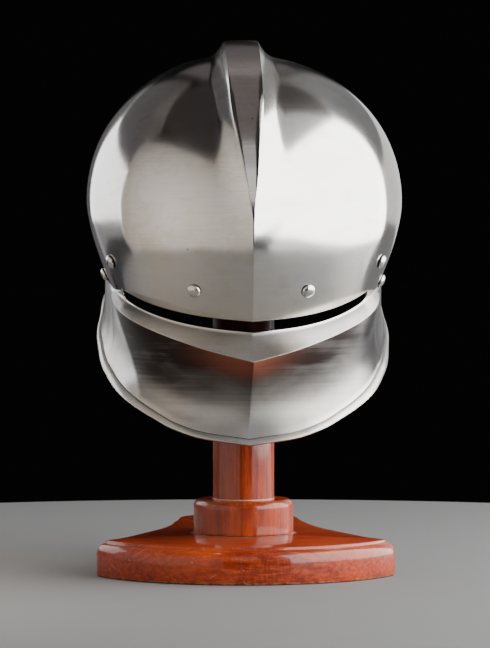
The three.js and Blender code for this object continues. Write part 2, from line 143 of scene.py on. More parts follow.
@dataclass(frozen=True)
class Skin:
    """The rule that gives every point of the helmet's outer skin, in the helmet's own frame."""

    pitch: float = math.radians(20)
    lip_height: float = 215.6
    middle: float = 50
    rise: float = 97.4
    fullness: float = 0.89
    half_width: float = 112.4
    front_length: float = 131
    back_length: float = 132
    set_back: float = 6
    skirt: float = 12
    equator: float = 0.8
    taper_side: float = 0.114
    taper_front: float = 0.046
    taper_back: float = 0.09
    taper_power: float = 1.55
    comb: Comb = Comb()
    ledge_root: float = -2.2
    # Angle from the front, overhang, height of the edge.
    ledge: Table = columns(
        (0, 22, -13.2), (7, 22, -10.8), (21, 19.6, -6), (34, 18, -3), (46, 14.8, -1.9),
        (56, 9.6, -1.7), (63, 5, -2.3), (69, 1, -4.2), (80, 0, -7), (180, 0, -7))
    # Side, back, up, from the front round to the rear.
    rim: Table = columns(
        (0, -151, -70.9), (29, -146, -70.2), (52, -135.5, -66.8), (66, -122.5, -64), (84, -98, -61),
        (98.5, -55, -58), (103.3, -12, -54), (102.5, 15, -49), (98, 58, -42.5), (88, 95, -42),
        (70, 130, -46), (45, 160, -53), (20, 182, -60), (0, 190, -64))
    # Angle from the front, depth of the hollow.
    dish: Table = columns(
        (0, 12.6), (20, 12), (40, 11), (56, 8.6), (66, 5.6), (76, 3.4), (90, 2.2), (110, 2.6),
        (135, 5.5), (160, 9), (180, 10))
    dish_deepest: float = 0.64
    crease: float = 2.4
    crease_reach: float = 24
    crease_at_rim: Pair = (0.6, 0.5)

    def crown_angle(self, back: np.ndarray, up: np.ndarray) -> np.ndarray:
        """Angle along the crown of a point on the bowl, in degrees."""
        length = np.where(back < self.set_back, self.front_length, self.back_length)
        level = np.maximum(0, (up - self.middle) / self.rise)
        return np.degrees(np.arctan2(level, (self.set_back - back) / length))

    def bowl(self, reach: np.ndarray, heading: np.ndarray, up: np.ndarray | None = None) -> np.ndarray:
        """Points of the bowl.

        Args:
            reach: 0 at the crown and 1 at the skirt.
            heading: Round from the front, in radians.
            up: A height below the bowl's middle that takes the place of reach.

        Returns:
            Side, back and up of each point.
        """
        reach, heading = np.broadcast_arrays(np.asarray(reach, float), np.asarray(heading, float))
        forward = np.cos(heading)
        low = self.middle - (self.middle - self.skirt) * (reach - self.equator) / (1 - self.equator)
        low = low if up is None else np.broadcast_to(np.asarray(up, float), reach.shape)
        ends = np.where(forward > 0, self.taper_front, self.taper_back)
        taper = self.taper_side + (ends - self.taper_side) * forward ** 2
        drawn = 1 - taper * (np.maximum(0, self.middle - low) / self.middle) ** self.taper_power
        fall = np.clip(reach / self.equator, 0, 1) * math.pi / 2
        domed = (reach <= self.equator) if up is None else np.zeros(reach.shape, bool)
        spread = np.where(domed, np.sin(fall) ** self.fullness, drawn)
        height = np.where(domed, self.middle + self.rise * np.cos(fall), low)
        length = np.where(forward > 0, self.front_length, self.back_length)
        side = self.half_width * spread * np.sin(heading)
        back = self.set_back - length * spread * forward
        angle = self.crown_angle(back, height)
        out = self.comb.height(angle, side)
        turn = np.radians(angle)
        lean_back = -np.cos(turn) / length
        lean_up = np.sin(turn) / self.rise
        size = np.hypot(lean_back, lean_up)
        return np.stack([side, back + out * lean_back / size, height + out * lean_up / size], axis=-1)

    def leaned(self, points: np.ndarray, share: np.ndarray | float = 1) -> np.ndarray:
        """Shifts points sideways with the comb beside them.

        Args:
            points: Side, back and up of each point.
            share: How much of the shift each point takes.

        Returns:
            The shifted points.
        """
        moved = points.copy()
        angle = self.crown_angle(points[..., 1], points[..., 2])
        fade = np.maximum(0, 1 - (points[..., 0] / self.comb.lean_reach) ** 2) ** 2
        moved[..., 0] += share * fade * self.comb.lean(angle)
        return moved

    def spot(self, heading: float, up: float) -> tuple[np.ndarray, np.ndarray]:
        """Place and outward direction of a point on the bowl below its middle.

        Args:
            heading: Round from the front, in radians.
            up: Its height.

        Returns:
            The place and the direction.
        """
        step = 0.02
        place = self.leaned(self.bowl(1, heading, up))
        around = self.bowl(1, heading + step, up) - self.bowl(1, heading - step, up)
        rise = self.bowl(1, heading, up + 1) - self.bowl(1, heading, up - 1)
        normal = np.cross(around, rise)
        return place, normal / np.linalg.norm(normal)

    def to_frame(self, points: np.ndarray) -> np.ndarray:
        """Tips points of the helmet's own frame forward on the post, in metres.

        Args:
            points: Side, back and up of each point, in millimetres.

        Returns:
            The same points in the scene.
        """
        side, back, up = points[..., 0], points[..., 1], points[..., 2]
        cos, sin = math.cos(self.pitch), math.sin(self.pitch)
        tipped = np.stack([side, back * cos - up * sin, self.lip_height + back * sin + up * cos], axis=-1)
        return tipped * MM


def new_mesh(name: str, points: np.ndarray, faces: list[tuple[int, ...]]) -> bpy.types.Object:
    """Makes a smooth-shaded mesh object at the origin.

    Args:
        name: The piece's name.
        points: Corner places in metres.
        faces: Corner numbers of each face.

    Returns:
        The new object, linked to the scene.
    """
    mesh = bpy.data.meshes.new(name)
    mesh.from_pydata([tuple(map(float, p)) for p in points], [], faces)
    mesh.update()
    mesh.shade_smooth()
    piece = bpy.data.objects.new(name, mesh)
    bpy.context.scene.collection.objects.link(piece)
    return piece


def ring_faces(rings: int, count: int) -> list[tuple[int, ...]]:
    """Four-sided faces between rings of corners that are numbered ring by ring.

    Args:
        rings: How many rings there are.
        count: How many corners each ring has.

    Returns:
        Corner numbers of each face.
    """
    return [(low + j, low + (j + 1) % count, low + count + (j + 1) % count, low + count + j)
            for low in range(0, (rings - 1) * count, count) for j in range(count)]


def applied(piece: bpy.types.Object) -> None:
    """Turns a piece's live modifiers into its plain mesh.

    Args:
        piece: The piece.
    """
    graph = bpy.context.evaluated_depsgraph_get()
    mesh = bpy.data.meshes.new_from_object(piece.evaluated_get(graph))
    piece.modifiers.clear()
    piece.data = mesh


class Grade(Enum):
    """How far a steel face was worked."""

    POLISHED = "polished"
    INSIDE = "inside"
    RIVET = "rivet"


class Grain(Enum):
    """Which way a wooden piece's grain runs."""

    UPRIGHT = "upright"
    ACROSS = "across"


class Order(Enum):
    """Whether a pattern's coordinates are stretched or turned first."""

    STRETCH_FIRST = "POINT"
    TURN_FIRST = "TEXTURE"


@dataclass(frozen=True)
class Mottle:
    """A noise pattern on the object's own coordinates, which are stretched, turned and shifted."""

    scale: float
    detail: float = 3
    rough: float = 0.5
    bend: float = 0
    stretch: Triple = (1, 1, 1)
    turn: Triple = (0, 0, 0)
    shift: Triple = (0, 0, 0)
    order: Order = Order.STRETCH_FIRST


@dataclass(frozen=True)
class Layer:
    """A tone over the tones below it, from its least to its most as a pattern goes from low to high."""

    pattern: Mottle
    low: float
    high: float
    tone: Triple
    least: float = 0
    most: float = 1


class Graph:
    """A short way to add and join the nodes of one tree."""

    def __init__(self, tree: bpy.types.NodeTree) -> None:
        """Starts on one tree."""
        self.tree = tree

    def add(self, kind: str, **values: object) -> bpy.types.Node:
        """Adds a node and sets its own properties.

        Args:
            kind: The node's type name.
            values: Its properties.

        Returns:
            The node.
        """
        node = self.tree.nodes.new(kind)
        for key, value in values.items():
            setattr(node, key, value)
        return node

    def join(self, source: Socket | float | tuple[float, ...], target: Socket) -> None:
        """Links one socket to another, or sets a plain value on it.

        Args:
            source: A socket or a value.
            target: The socket that takes it.
        """
        if isinstance(source, Socket):
            self.tree.links.new(source, target)
        else:
            target.default_value = source

    def math(self, kind: str, first: Socket | float, second: Socket | float = 0) -> Socket:
        """One sum on two values.

        Args:
            kind: The sum's type name.
            first: A socket or a number.
            second: Another one, for a sum on two.

        Returns:
            The result.
        """
        node = self.add("ShaderNodeMath", operation=kind)
        self.join(first, node.inputs[0])
        self.join(second, node.inputs[1])
        return node.outputs["Value"]


class Shaper(Graph):
    """A Geometry Nodes tree with named inputs, which is run on a piece and applied."""

    def __init__(self, name: str, **inputs: str) -> None:
        """Starts a tree with the kind of each input by its name.

        Args:
            name: The tree's name.
            inputs: The kind of each input. The first is the piece's own mesh.
        """
        super().__init__(bpy.data.node_groups.new(name, "GeometryNodeTree"))
        face = self.tree.interface
        for key, kind in inputs.items():
            face.new_socket(key, in_out="INPUT", socket_type=f"NodeSocket{kind}")
        face.new_socket("Piece", in_out="OUTPUT", socket_type="NodeSocketGeometry")
        self.given = self.add("NodeGroupInput").outputs

    def end(self, geometry: Socket, material: Socket) -> None:
        """Ends the tree in real geometry with its material set.

        Args:
            geometry: What the tree has made.
            material: Its finish.
        """
        real = self.add("GeometryNodeRealizeInstances")
        dress = self.add("GeometryNodeSetMaterial")
        result = self.add("NodeGroupOutput")
        self.join(geometry, real.inputs["Geometry"])
        self.join(real.outputs["Geometry"], dress.inputs["Geometry"])
        self.join(material, dress.inputs["Material"])
        self.join(dress.outputs["Geometry"], result.inputs["Piece"])

    def run(self, piece: bpy.types.Object, **values: object) -> None:
        """Runs the tree on a piece, which becomes its plain mesh.

        Args:
            piece: The piece, whose mesh goes into the tree's first input.
            values: The other inputs by name.
        """
        modifier = piece.modifiers.new(self.tree.name, "NODES")
        modifier.node_group = self.tree
        sockets = {item.name: item.identifier for item in self.tree.interface.items_tree}
        for key, value in values.items():
            modifier[sockets[key]] = value
        applied(piece)


class Nodes(Graph):
    """The nodes of one material."""

    def __init__(self, name: str) -> None:
        """Starts an empty material with its shader and output.

        Args:
            name: The material's name.
        """
        self.material = bpy.data.materials.new(name)
        self.material.use_nodes = True
        super().__init__(self.material.node_tree)
        self.shader = self.tree.nodes["Principled BSDF"]
        self.places = self.add("ShaderNodeTexCoord").outputs["Object"]
        self.patterns: dict[Mottle, Socket] = {}

    @cached_property
    def split(self) -> bpy.types.Node:
        """The node that takes the object coordinates apart."""
        node = self.add("ShaderNodeSeparateXYZ")
        self.join(self.places, node.inputs["Vector"])
        return node

    def mark(self, name: str) -> Socket:
        """A value that the mesh's corners carry."""
        return self.add("ShaderNodeAttribute", attribute_name=name).outputs["Fac"]

    def mapped(self, scale: Triple, turn: Triple = (0, 0, 0), shift: Triple = (0, 0, 0),
               order: Order = Order.STRETCH_FIRST) -> Socket:
        """Object coordinates, stretched, turned and shifted.

        Args:
            scale: The stretch along each axis.
            turn: Turn about each axis, in radians.
            shift: The shift along each axis.
            order: Whether it stretches or turns first.

        Returns:
            The coordinates.
        """
        node = self.add("ShaderNodeMapping", vector_type=order.value)
        for key, value in (("Scale", scale), ("Rotation", turn), ("Location", shift)):
            node.inputs[key].default_value = value
        self.join(self.places, node.inputs["Vector"])
        return node.outputs["Vector"]

    def pattern(self, mottle: Mottle) -> Socket:
        """A noise value from 0 to 1, made once for each pattern.

        Args:
            mottle: The pattern.

        Returns:
            The value.
        """
        if mottle not in self.patterns:
            node = self.add("ShaderNodeTexNoise")
            self.join(self.mapped(mottle.stretch, mottle.turn, mottle.shift, mottle.order),
                      node.inputs["Vector"])
            for key, value in (("Scale", mottle.scale), ("Detail", mottle.detail),
                               ("Roughness", mottle.rough), ("Distortion", mottle.bend)):
                node.inputs[key].default_value = value
            self.patterns[mottle] = node.outputs["Fac"]
        return self.patterns[mottle]

    def ranged(self, value: Socket, low: float, high: float, to_low: float = 0, to_high: float = 1) -> Socket:
        """Stretches a value from one range to another, and holds it there.

        Args:
            value: The value.
            low: Where the range starts.
            high: Where it ends.
            to_low: What the start becomes.
            to_high: What the end becomes.

        Returns:
            The new value.
        """
        node = self.add("ShaderNodeMapRange", clamp=True)
        self.join(value, node.inputs["Value"])
        for key, number in zip(("From Min", "From Max", "To Min", "To Max"), (low, high, to_low, to_high)):
            node.inputs[key].default_value = number
        return node.outputs["Result"]

    def near(self, place: Triple, inner: float, outer: float, stretch: Triple = (1, 1, 1)) -> Socket:
        """1 within a distance of a place, down to 0 at another distance.

        Args:
            place: The place, in metres.
            inner: The distance up to which it is 1.
            outer: The distance from which it is 0.
            stretch: How much each axis counts.

        Returns:
            The value.
        """
        away = self.add("ShaderNodeVectorMath", operation="DISTANCE")
        self.join(self.mapped(stretch), away.inputs[0])
        away.inputs[1].default_value = tuple(p * s for p, s in zip(place, stretch))
        return self.ranged(away.outputs["Value"], inner, outer, 1, 0)

    def band(self, axis: str, middle: float, inner: float, outer: float, most: float = 1) -> Socket:
        """Most of it within a distance of a level on one axis, down to 0 at another distance."""
        away = self.math("ABSOLUTE", self.math("SUBTRACT", self.split.outputs[axis], middle))
        return self.ranged(away, inner, outer, most, 0)

    def times(self, *values: Socket | float) -> Socket:
        """The product of several values."""
        return reduce(lambda first, second: self.math("MULTIPLY", first, second), values)

    def mixed(self, first: Socket, second: Socket, share: float) -> Socket:
        """The sum of two values, a share of the first and the rest of the second."""
        return self.math("ADD", self.times(first, share), self.times(second, 1 - share))

    def blend(self, share: Socket, under: Socket | Triple, over: Triple) -> Socket:
        """A share of one tone over another.

        Args:
            share: How much of the upper tone shows.
            under: The tone below.
            over: The tone above.

        Returns:
            The colour.
        """
        node = self.add("ShaderNodeMix", data_type="RGBA", clamp_factor=True)
        self.join(share, node.inputs[0])
        self.join(under if isinstance(under, Socket) else (*under, 1), node.inputs[6])
        self.join((*over, 1), node.inputs[7])
        return node.outputs[2]

    def layered(self, tone: Socket | Triple, *layers: Layer) -> Socket:
        """Lays tones one over another.

        Args:
            tone: The tone under them all.
            layers: The tones over it, the lowest first.

        Returns:
            The colour.
        """
        for layer in layers:
            share = self.ranged(self.pattern(layer.pattern), layer.low, layer.high, layer.least, layer.most)
            tone = self.blend(share, tone, layer.tone)
        return tone

    def bump(self, height: Socket, strength: float, distance: float, under: Socket | None = None) -> Socket:
        """A bumped normal, on top of another if one is given.

        Args:
            height: The height pattern.
            strength: Its strength, up to 1.
            distance: Its depth in metres.
            under: A normal below it.

        Returns:
            The normal.
        """
        node = self.add("ShaderNodeBump")
        node.inputs["Strength"].default_value = strength
        node.inputs["Distance"].default_value = distance
        self.join(height, node.inputs["Height"])
        if under is not None:
            self.join(under, node.inputs["Normal"])
        return node.outputs["Normal"]

    def feed(self, **sources: Socket) -> None:
        """Links the shader's own sockets, with spaces written as underscores."""
        for key, source in sources.items():
            self.join(source, self.shader.inputs[key.replace("_", " ")])

    def set(self, **values: float) -> None:
        """Sets plain numbers on the shader's own sockets, with spaces written as underscores."""
        for key, value in values.items():
            self.shader.inputs[key.replace("_", " ")].default_value = value


@dataclass(frozen=True)
class Steel:
    """Satin polished sheet steel, brushed round the helmet by hand.

    A range gives where a pattern starts and ends, and the values that it has there.
    """

    grade: Grade = Grade.POLISHED
    clean: Triple = (0.62, 0.605, 0.59)
    warm: Triple = (0.60, 0.56, 0.50)
    stain: Triple = (0.42, 0.36, 0.27)
    dark: Triple = (0.10, 0.092, 0.085)
    # Painted shade: the dark tone for the shade and dark reflections in the face's hollow, in the hem's
    # crevice and under the rivets' heads. The pits take it too.
    recess: Triple = (0.026, 0.020, 0.018)
    # Painted reflection: the reddish tone of the wooden base as the face would mirror it
    ember: Triple = (0.27, 0.085, 0.053)
    clouds: Mottle = Mottle(22, 3, 0.55, 0.4)
    streaks: Mottle = Mottle(1, 3, 0.6, stretch=(16, 16, 900))
    fine: Mottle = Mottle(1, 2, 0.7, stretch=(40, 40, 3200), turn=(0.06, 0.04, 0))
    stains: Mottle = Mottle(46, 6, 0.72, 0.7, (1, 1, 1.6), shift=(5, 2, 8))
    specks: Mottle = Mottle(420, 2, shift=(3, 1, 2))
    patchy: Mottle = Mottle(28, 3, 0.5, 0.35, (0.8, 0.8, 1.8), shift=(1, 9, 4))
    brush: Mottle = Mottle(1, 3, 0.6, stretch=(9, 9, 420), turn=(0.05, 0.03, 0))
    # How strongly the painted shade shows on the face, and the gaps and lines broken out of it
    painted_shade_gain: float = 1.17
    painted_shade_gaps: Range = (0.15, 0.8, 0.3, 0)
    painted_shade_lines: Range = (0.35, 0.65, 0.07, 0)
    # Place, radius and darkness.
    pits: tuple[tuple[Triple, float, float], ...] = (
        ((-0.0422, -0.1269, 0.2299), 0.0008, 0.95), ((-0.0362, -0.1294, 0.2285), 0.0006, 0.5),
        ((0.0024, -0.1193, 0.3192), 0.0009, 0.6))
    pit_floor: float = 0.4
    smear: Triple = (-0.034, -0.130, 0.229)
    smear_reach: Pair = (0.001, 0.009)
    smear_stretch: Triple = (0.8, 0.5, 2)
    smear_range: Range = (0.3, 0.7, 0.1, 0.5)
    painted_reflection_range: Range = (0.3, 0.6, 0.4, 0.8)
    dull_range: Range = (0.3, 0.6, 0.34, 0.26)
    smooth: float = 0.11
    rough: float = 0.15
    unworked: Pair = (0.45, 0.65)
    cloudy: float = 0.55
    worked_range: Pair = (0.35, 0.65)
    brushed: Pair = (0.013, 0.0002)
    fine_brushed: Pair = (0.02, 0.0001)
    sheen: float = 0.9
    sheen_turn: float = 0.25

    def stained_and_shaded(self, n: Nodes, tone: Socket) -> Socket:
        """Lays the painted shade and dark reflection in the face's hollow, the pits, the smear and the
        painted warm reflection of the wooden base over the steel's tone.

        Args:
            n: The material's nodes.
            tone: The tone of the plain steel.

        Returns:
            The tone with these marks on it.
        """
        patchy = n.pattern(self.patchy)
        # Painted shade over the face's hollow, from the mark that the skin carries
        painted_shade = n.times(n.mark("recess"), self.painted_shade_gain)
        painted_shade = n.math("SUBTRACT", painted_shade, n.ranged(patchy, *self.painted_shade_gaps))
        painted_shade = n.math("SUBTRACT", painted_shade, n.ranged(n.pattern(self.brush), *self.painted_shade_lines))
        tone = n.blend(painted_shade, tone, self.recess)
        for place, radius, depth in self.pits:
            pit = n.near(place, radius * self.pit_floor, radius)
            tone = n.blend(n.times(pit, depth), tone, self.recess)
        smear = n.near(self.smear, *self.smear_reach, self.smear_stretch)
        tone = n.blend(n.times(smear, n.ranged(patchy, *self.smear_range)), tone, self.stain)
        # Painted reflection of the wooden base on the upper face
        return n.blend(n.times(n.mark("ember"), n.ranged(patchy, *self.painted_reflection_range)), tone, self.ember)

    def material(self) -> bpy.types.Material:
        """Builds the finish.

        Returns:
            The material.
        """
        n = Nodes(f"steel_{self.grade.value}")
        polished, inside = self.grade is Grade.POLISHED, self.grade is Grade.INSIDE
        tone = n.layered(self.clean, Layer(self.clouds, 0.42, 0.66, self.warm),
                         Layer(self.stains, 0.5, 0.72, self.stain, most=0.38),
                         Layer(self.specks, 0.74, 0.8, self.dark, most=0.4),
                         Layer(self.streaks, 0.4, 0.66, self.dark, most=0.06))
        clouds, streaks = n.pattern(self.clouds), n.pattern(self.streaks)
        low, high = self.unworked if inside else (self.smooth, self.rough)
        rough = n.ranged(n.mixed(clouds, streaks, self.cloudy), *self.worked_range, low, high)
        if inside:
            tone = n.layered(tone, Layer(self.clouds, 0.3, 0.7, self.dark, 0.75, 0.95))
        elif polished:
            tone = self.stained_and_shaded(n, tone)
            dull = n.ranged(n.pattern(self.patchy), *self.dull_range)
            rough = n.math("ADD", rough, n.times(n.mark("satin"), dull))
            tangent = n.add("ShaderNodeTangent", direction_type="RADIAL", axis="Z")
            n.feed(Tangent=tangent.outputs["Tangent"])
            n.set(Anisotropic=self.sheen, Anisotropic_Rotation=self.sheen_turn)
        else:
            # Painted shade on the rivet head's lower edge
            tone = n.blend(n.mark("recess"), tone, self.recess)
        brushed = n.bump(streaks, *self.brushed)
        fine_brushed = n.bump(n.pattern(self.fine), *self.fine_brushed, brushed)
        n.feed(Base_Color=tone, Roughness=rough, Normal=fine_brushed)
        n.set(Metallic=1.0)
        return n.material


@dataclass(frozen=True)
class Varnish:
    """Red-brown hardwood under a thick glossy varnish.

    A range gives where a pattern or a height starts and ends, and the values that it has there.
    A ring of dust has its radius, its width and its height.
    """

    grain: Grain = Grain.UPRIGHT
    deep: Triple = (0.07, 0.006, 0.0015)
    middle: Triple = (0.23, 0.021, 0.004)
    light: Triple = (0.46, 0.064, 0.012)
    dust: Triple = (0.62, 0.46, 0.36)
    worn: Triple = (0.52, 0.27, 0.12)
    board: Triple = (0.20, 0.062, 0.03)
    shade: Triple = (0.012, 0.002, 0.001)
    upright: Triple = (1, 1, 0.07)
    across: Triple = (0.09, 1, 1)
    fibre: Mottle = Mottle(420, 5, 0.62, 0.2)
    bands: Mottle = Mottle(75, 4, 0.6, 0.6, shift=(0.3, 0.1, 0.2))
    pores: Mottle = Mottle(1500, 2, turn=(0, 0, 0.02))
    pore_length: float = 1.6
    cast: Mottle = Mottle(18, 2, shift=(4, 4, 4))
    ripple: Mottle = Mottle(160, 2, shift=(2, 3, 1))
    fibrous: float = 0.5
    rippled: float = 0.6
    rough_range: Range = (0.3, 0.7, 0.34, 0.5)
    relief: Pair = (0.25, 0.3 * MM)
    coat_relief: Pair = (0.06, 0.3 * MM)
    ring: Triple = (22.3 * MM, 1.2 * MM, 50 * MM)
    foot_ring: Triple = (36 * MM, 2.6 * MM, 25.3 * MM)
    ring_thick: Pair = (0.2 * MM, 0.6 * MM)
    crumbs: Mottle = Mottle(500, 3, 0.6, shift=(2, 2, 5))
    crumb_range: Range = (0.3, 0.55, 0.3, 0.85)
    # Turn and shift.
    scratches: tuple[Pair, ...] = ((0.9, 0), (-0.6, 3), (1.35, 6))
    hair: Mottle = Mottle(1, 0, 0, 0, (1 / 24, 1 / 24, 1 / 1800), (0.35, 1, 0.8), (1, 1, 0), Order.TURN_FIRST)
    short: Mottle = Mottle(60, 1, shift=(1, 4, 4))
    scratch_range: Pair = (0.8, 0.83)
    scratch_ends: Range = (0.6, 0.66, 0, 0.3)
    specks: Mottle = Mottle(900, 2, shift=(1, 7, 3))
    joint_side: float = -2.5 * MM
    joint_width: Pair = (0.25 * MM, 0.55 * MM)
    joint_depth: float = 0.8
    board_range: Range = (-2.5 * MM, -1.5 * MM, 0.3, 0)
    shade_range: Range = (138 * MM, 160 * MM, 0, 0.9)
    gloss_range: Range = (138 * MM, 160 * MM, 0.7, 0.04)
    threads: tuple[Mottle, ...] = (Mottle(1, 1, stretch=(700, 700, 90)), Mottle(1, 1, stretch=(90, 90, 900)))
    thread_band: Range = (12 * MM, 12 * MM, 34 * MM, 0.5)
    thread_range: Range = (0.22, 0.3, 1, 0)
    wear: Mottle = Mottle(260, 3, 0.6, shift=(8, 1, 1))
    wear_range: Pair = (0.44, 0.6)
    wear_edge: Range = (0.3 * MM, 1.9 * MM, 0.7, 0)

    def grained(self, mottle: Mottle, finer: float = 1) -> Mottle:
        """A pattern drawn out along the grain."""
        stretch = self.upright if self.grain is Grain.UPRIGHT else self.across
        return replace(mottle, stretch=tuple(s * finer for s in stretch))

    def jointed(self, n: Nodes, tone: Socket) -> Socket:
        """Lays the post's glued joint, its paler left board and the shade in the bowl over its tone.

        Args:
            n: The material's nodes.
            tone: The tone of the plain wood.

        Returns:
            The tone with the joint on it.
        """
        joint = n.band("X", self.joint_side, *self.joint_width, self.joint_depth)
        tone = n.blend(joint, tone, self.deep)
        tone = n.blend(n.ranged(n.split.outputs["X"], *self.board_range), tone, self.board)
        n.feed(Coat_Weight=n.ranged(n.split.outputs["Z"], *self.gloss_range))
        return n.blend(n.ranged(n.split.outputs["Z"], *self.shade_range), tone, self.shade)

    def scuffed(self, n: Nodes, tone: Socket) -> Socket:
        """Lays the base's faint crossed lines and its worn lower edge over its tone.

        Args:
            n: The material's nodes.
            tone: The tone of the plain wood.

        Returns:
            The tone with the wear on it.
        """
        weave = n.ranged(n.times(*map(n.pattern, self.threads)), *self.thread_range)
        tone = n.blend(n.times(n.band("X", *self.thread_band), weave), tone, self.deep)
        worn = n.ranged(n.pattern(self.wear), *self.wear_range)
        return n.blend(n.times(worn, n.ranged(n.split.outputs["Z"], *self.wear_edge)), tone, self.worn)

    def dusted(self, n: Nodes, tone: Socket) -> Socket:
        """Lays a ring of dust, fine scratches and specks over the wood's tone.

        Args:
            n: The material's nodes.
            tone: The tone of the plain wood.

        Returns:
            The tone with the dust on it.
        """
        radius, width, height = self.ring if self.grain is Grain.UPRIGHT else self.foot_ring
        beside = n.near((0, 0, 0), radius, radius + width, (1, 1, 0))
        crumbs = n.ranged(n.pattern(self.crumbs), *self.crumb_range)
        tone = n.blend(n.times(beside, n.band("Z", height, *self.ring_thick), crumbs), tone, self.dust)
        for turn, shift in self.scratches:
            hair = replace(self.hair, turn=tuple(turn * t for t in self.hair.turn), shift=(shift, shift, 0))
            short = replace(self.short, shift=(shift, *self.short.shift[1:]))
            scratch = n.times(n.ranged(n.pattern(hair), *self.scratch_range),
                              n.ranged(n.pattern(short), *self.scratch_ends))
            tone = n.blend(scratch, tone, self.dust)
        return n.layered(tone, Layer(self.specks, 0.73, 0.78, self.dust, most=0.7))

    def material(self) -> bpy.types.Material:
        """Builds the finish.

        Returns:
            The material.
        """
        n = Nodes(f"varnish_{self.grain.value}")
        upright = self.grain is Grain.UPRIGHT
        fibre, pores = self.grained(self.fibre), self.grained(self.pores, self.pore_length)
        tone = n.layered(
            self.deep, Layer(self.grained(self.bands), 0.34, 0.66, self.middle, 0 if upright else 0.45),
            Layer(fibre, 0.4, 0.72, self.light, most=0.75), Layer(pores, 0.56, 0.7, self.deep, most=0.6),
            Layer(self.cast, 0.45, 0.7, self.light, most=0.3))
        n.set(Coat_Weight=0.7, Coat_Roughness=0.07, Coat_IOR=1.45, IOR=1.45, Specular_IOR_Level=0.15)
        tone = self.jointed(n, tone) if upright else self.scuffed(n, tone)
        height = n.mixed(n.pattern(fibre), n.pattern(pores), self.fibrous)
        coat = n.mixed(n.pattern(self.ripple), height, self.rippled)
        n.feed(Base_Color=self.dusted(n, tone), Roughness=n.ranged(n.pattern(fibre), *self.rough_range),
               Normal=n.bump(height, *self.relief), Coat_Normal=n.bump(coat, *self.coat_relief))
        return n.material


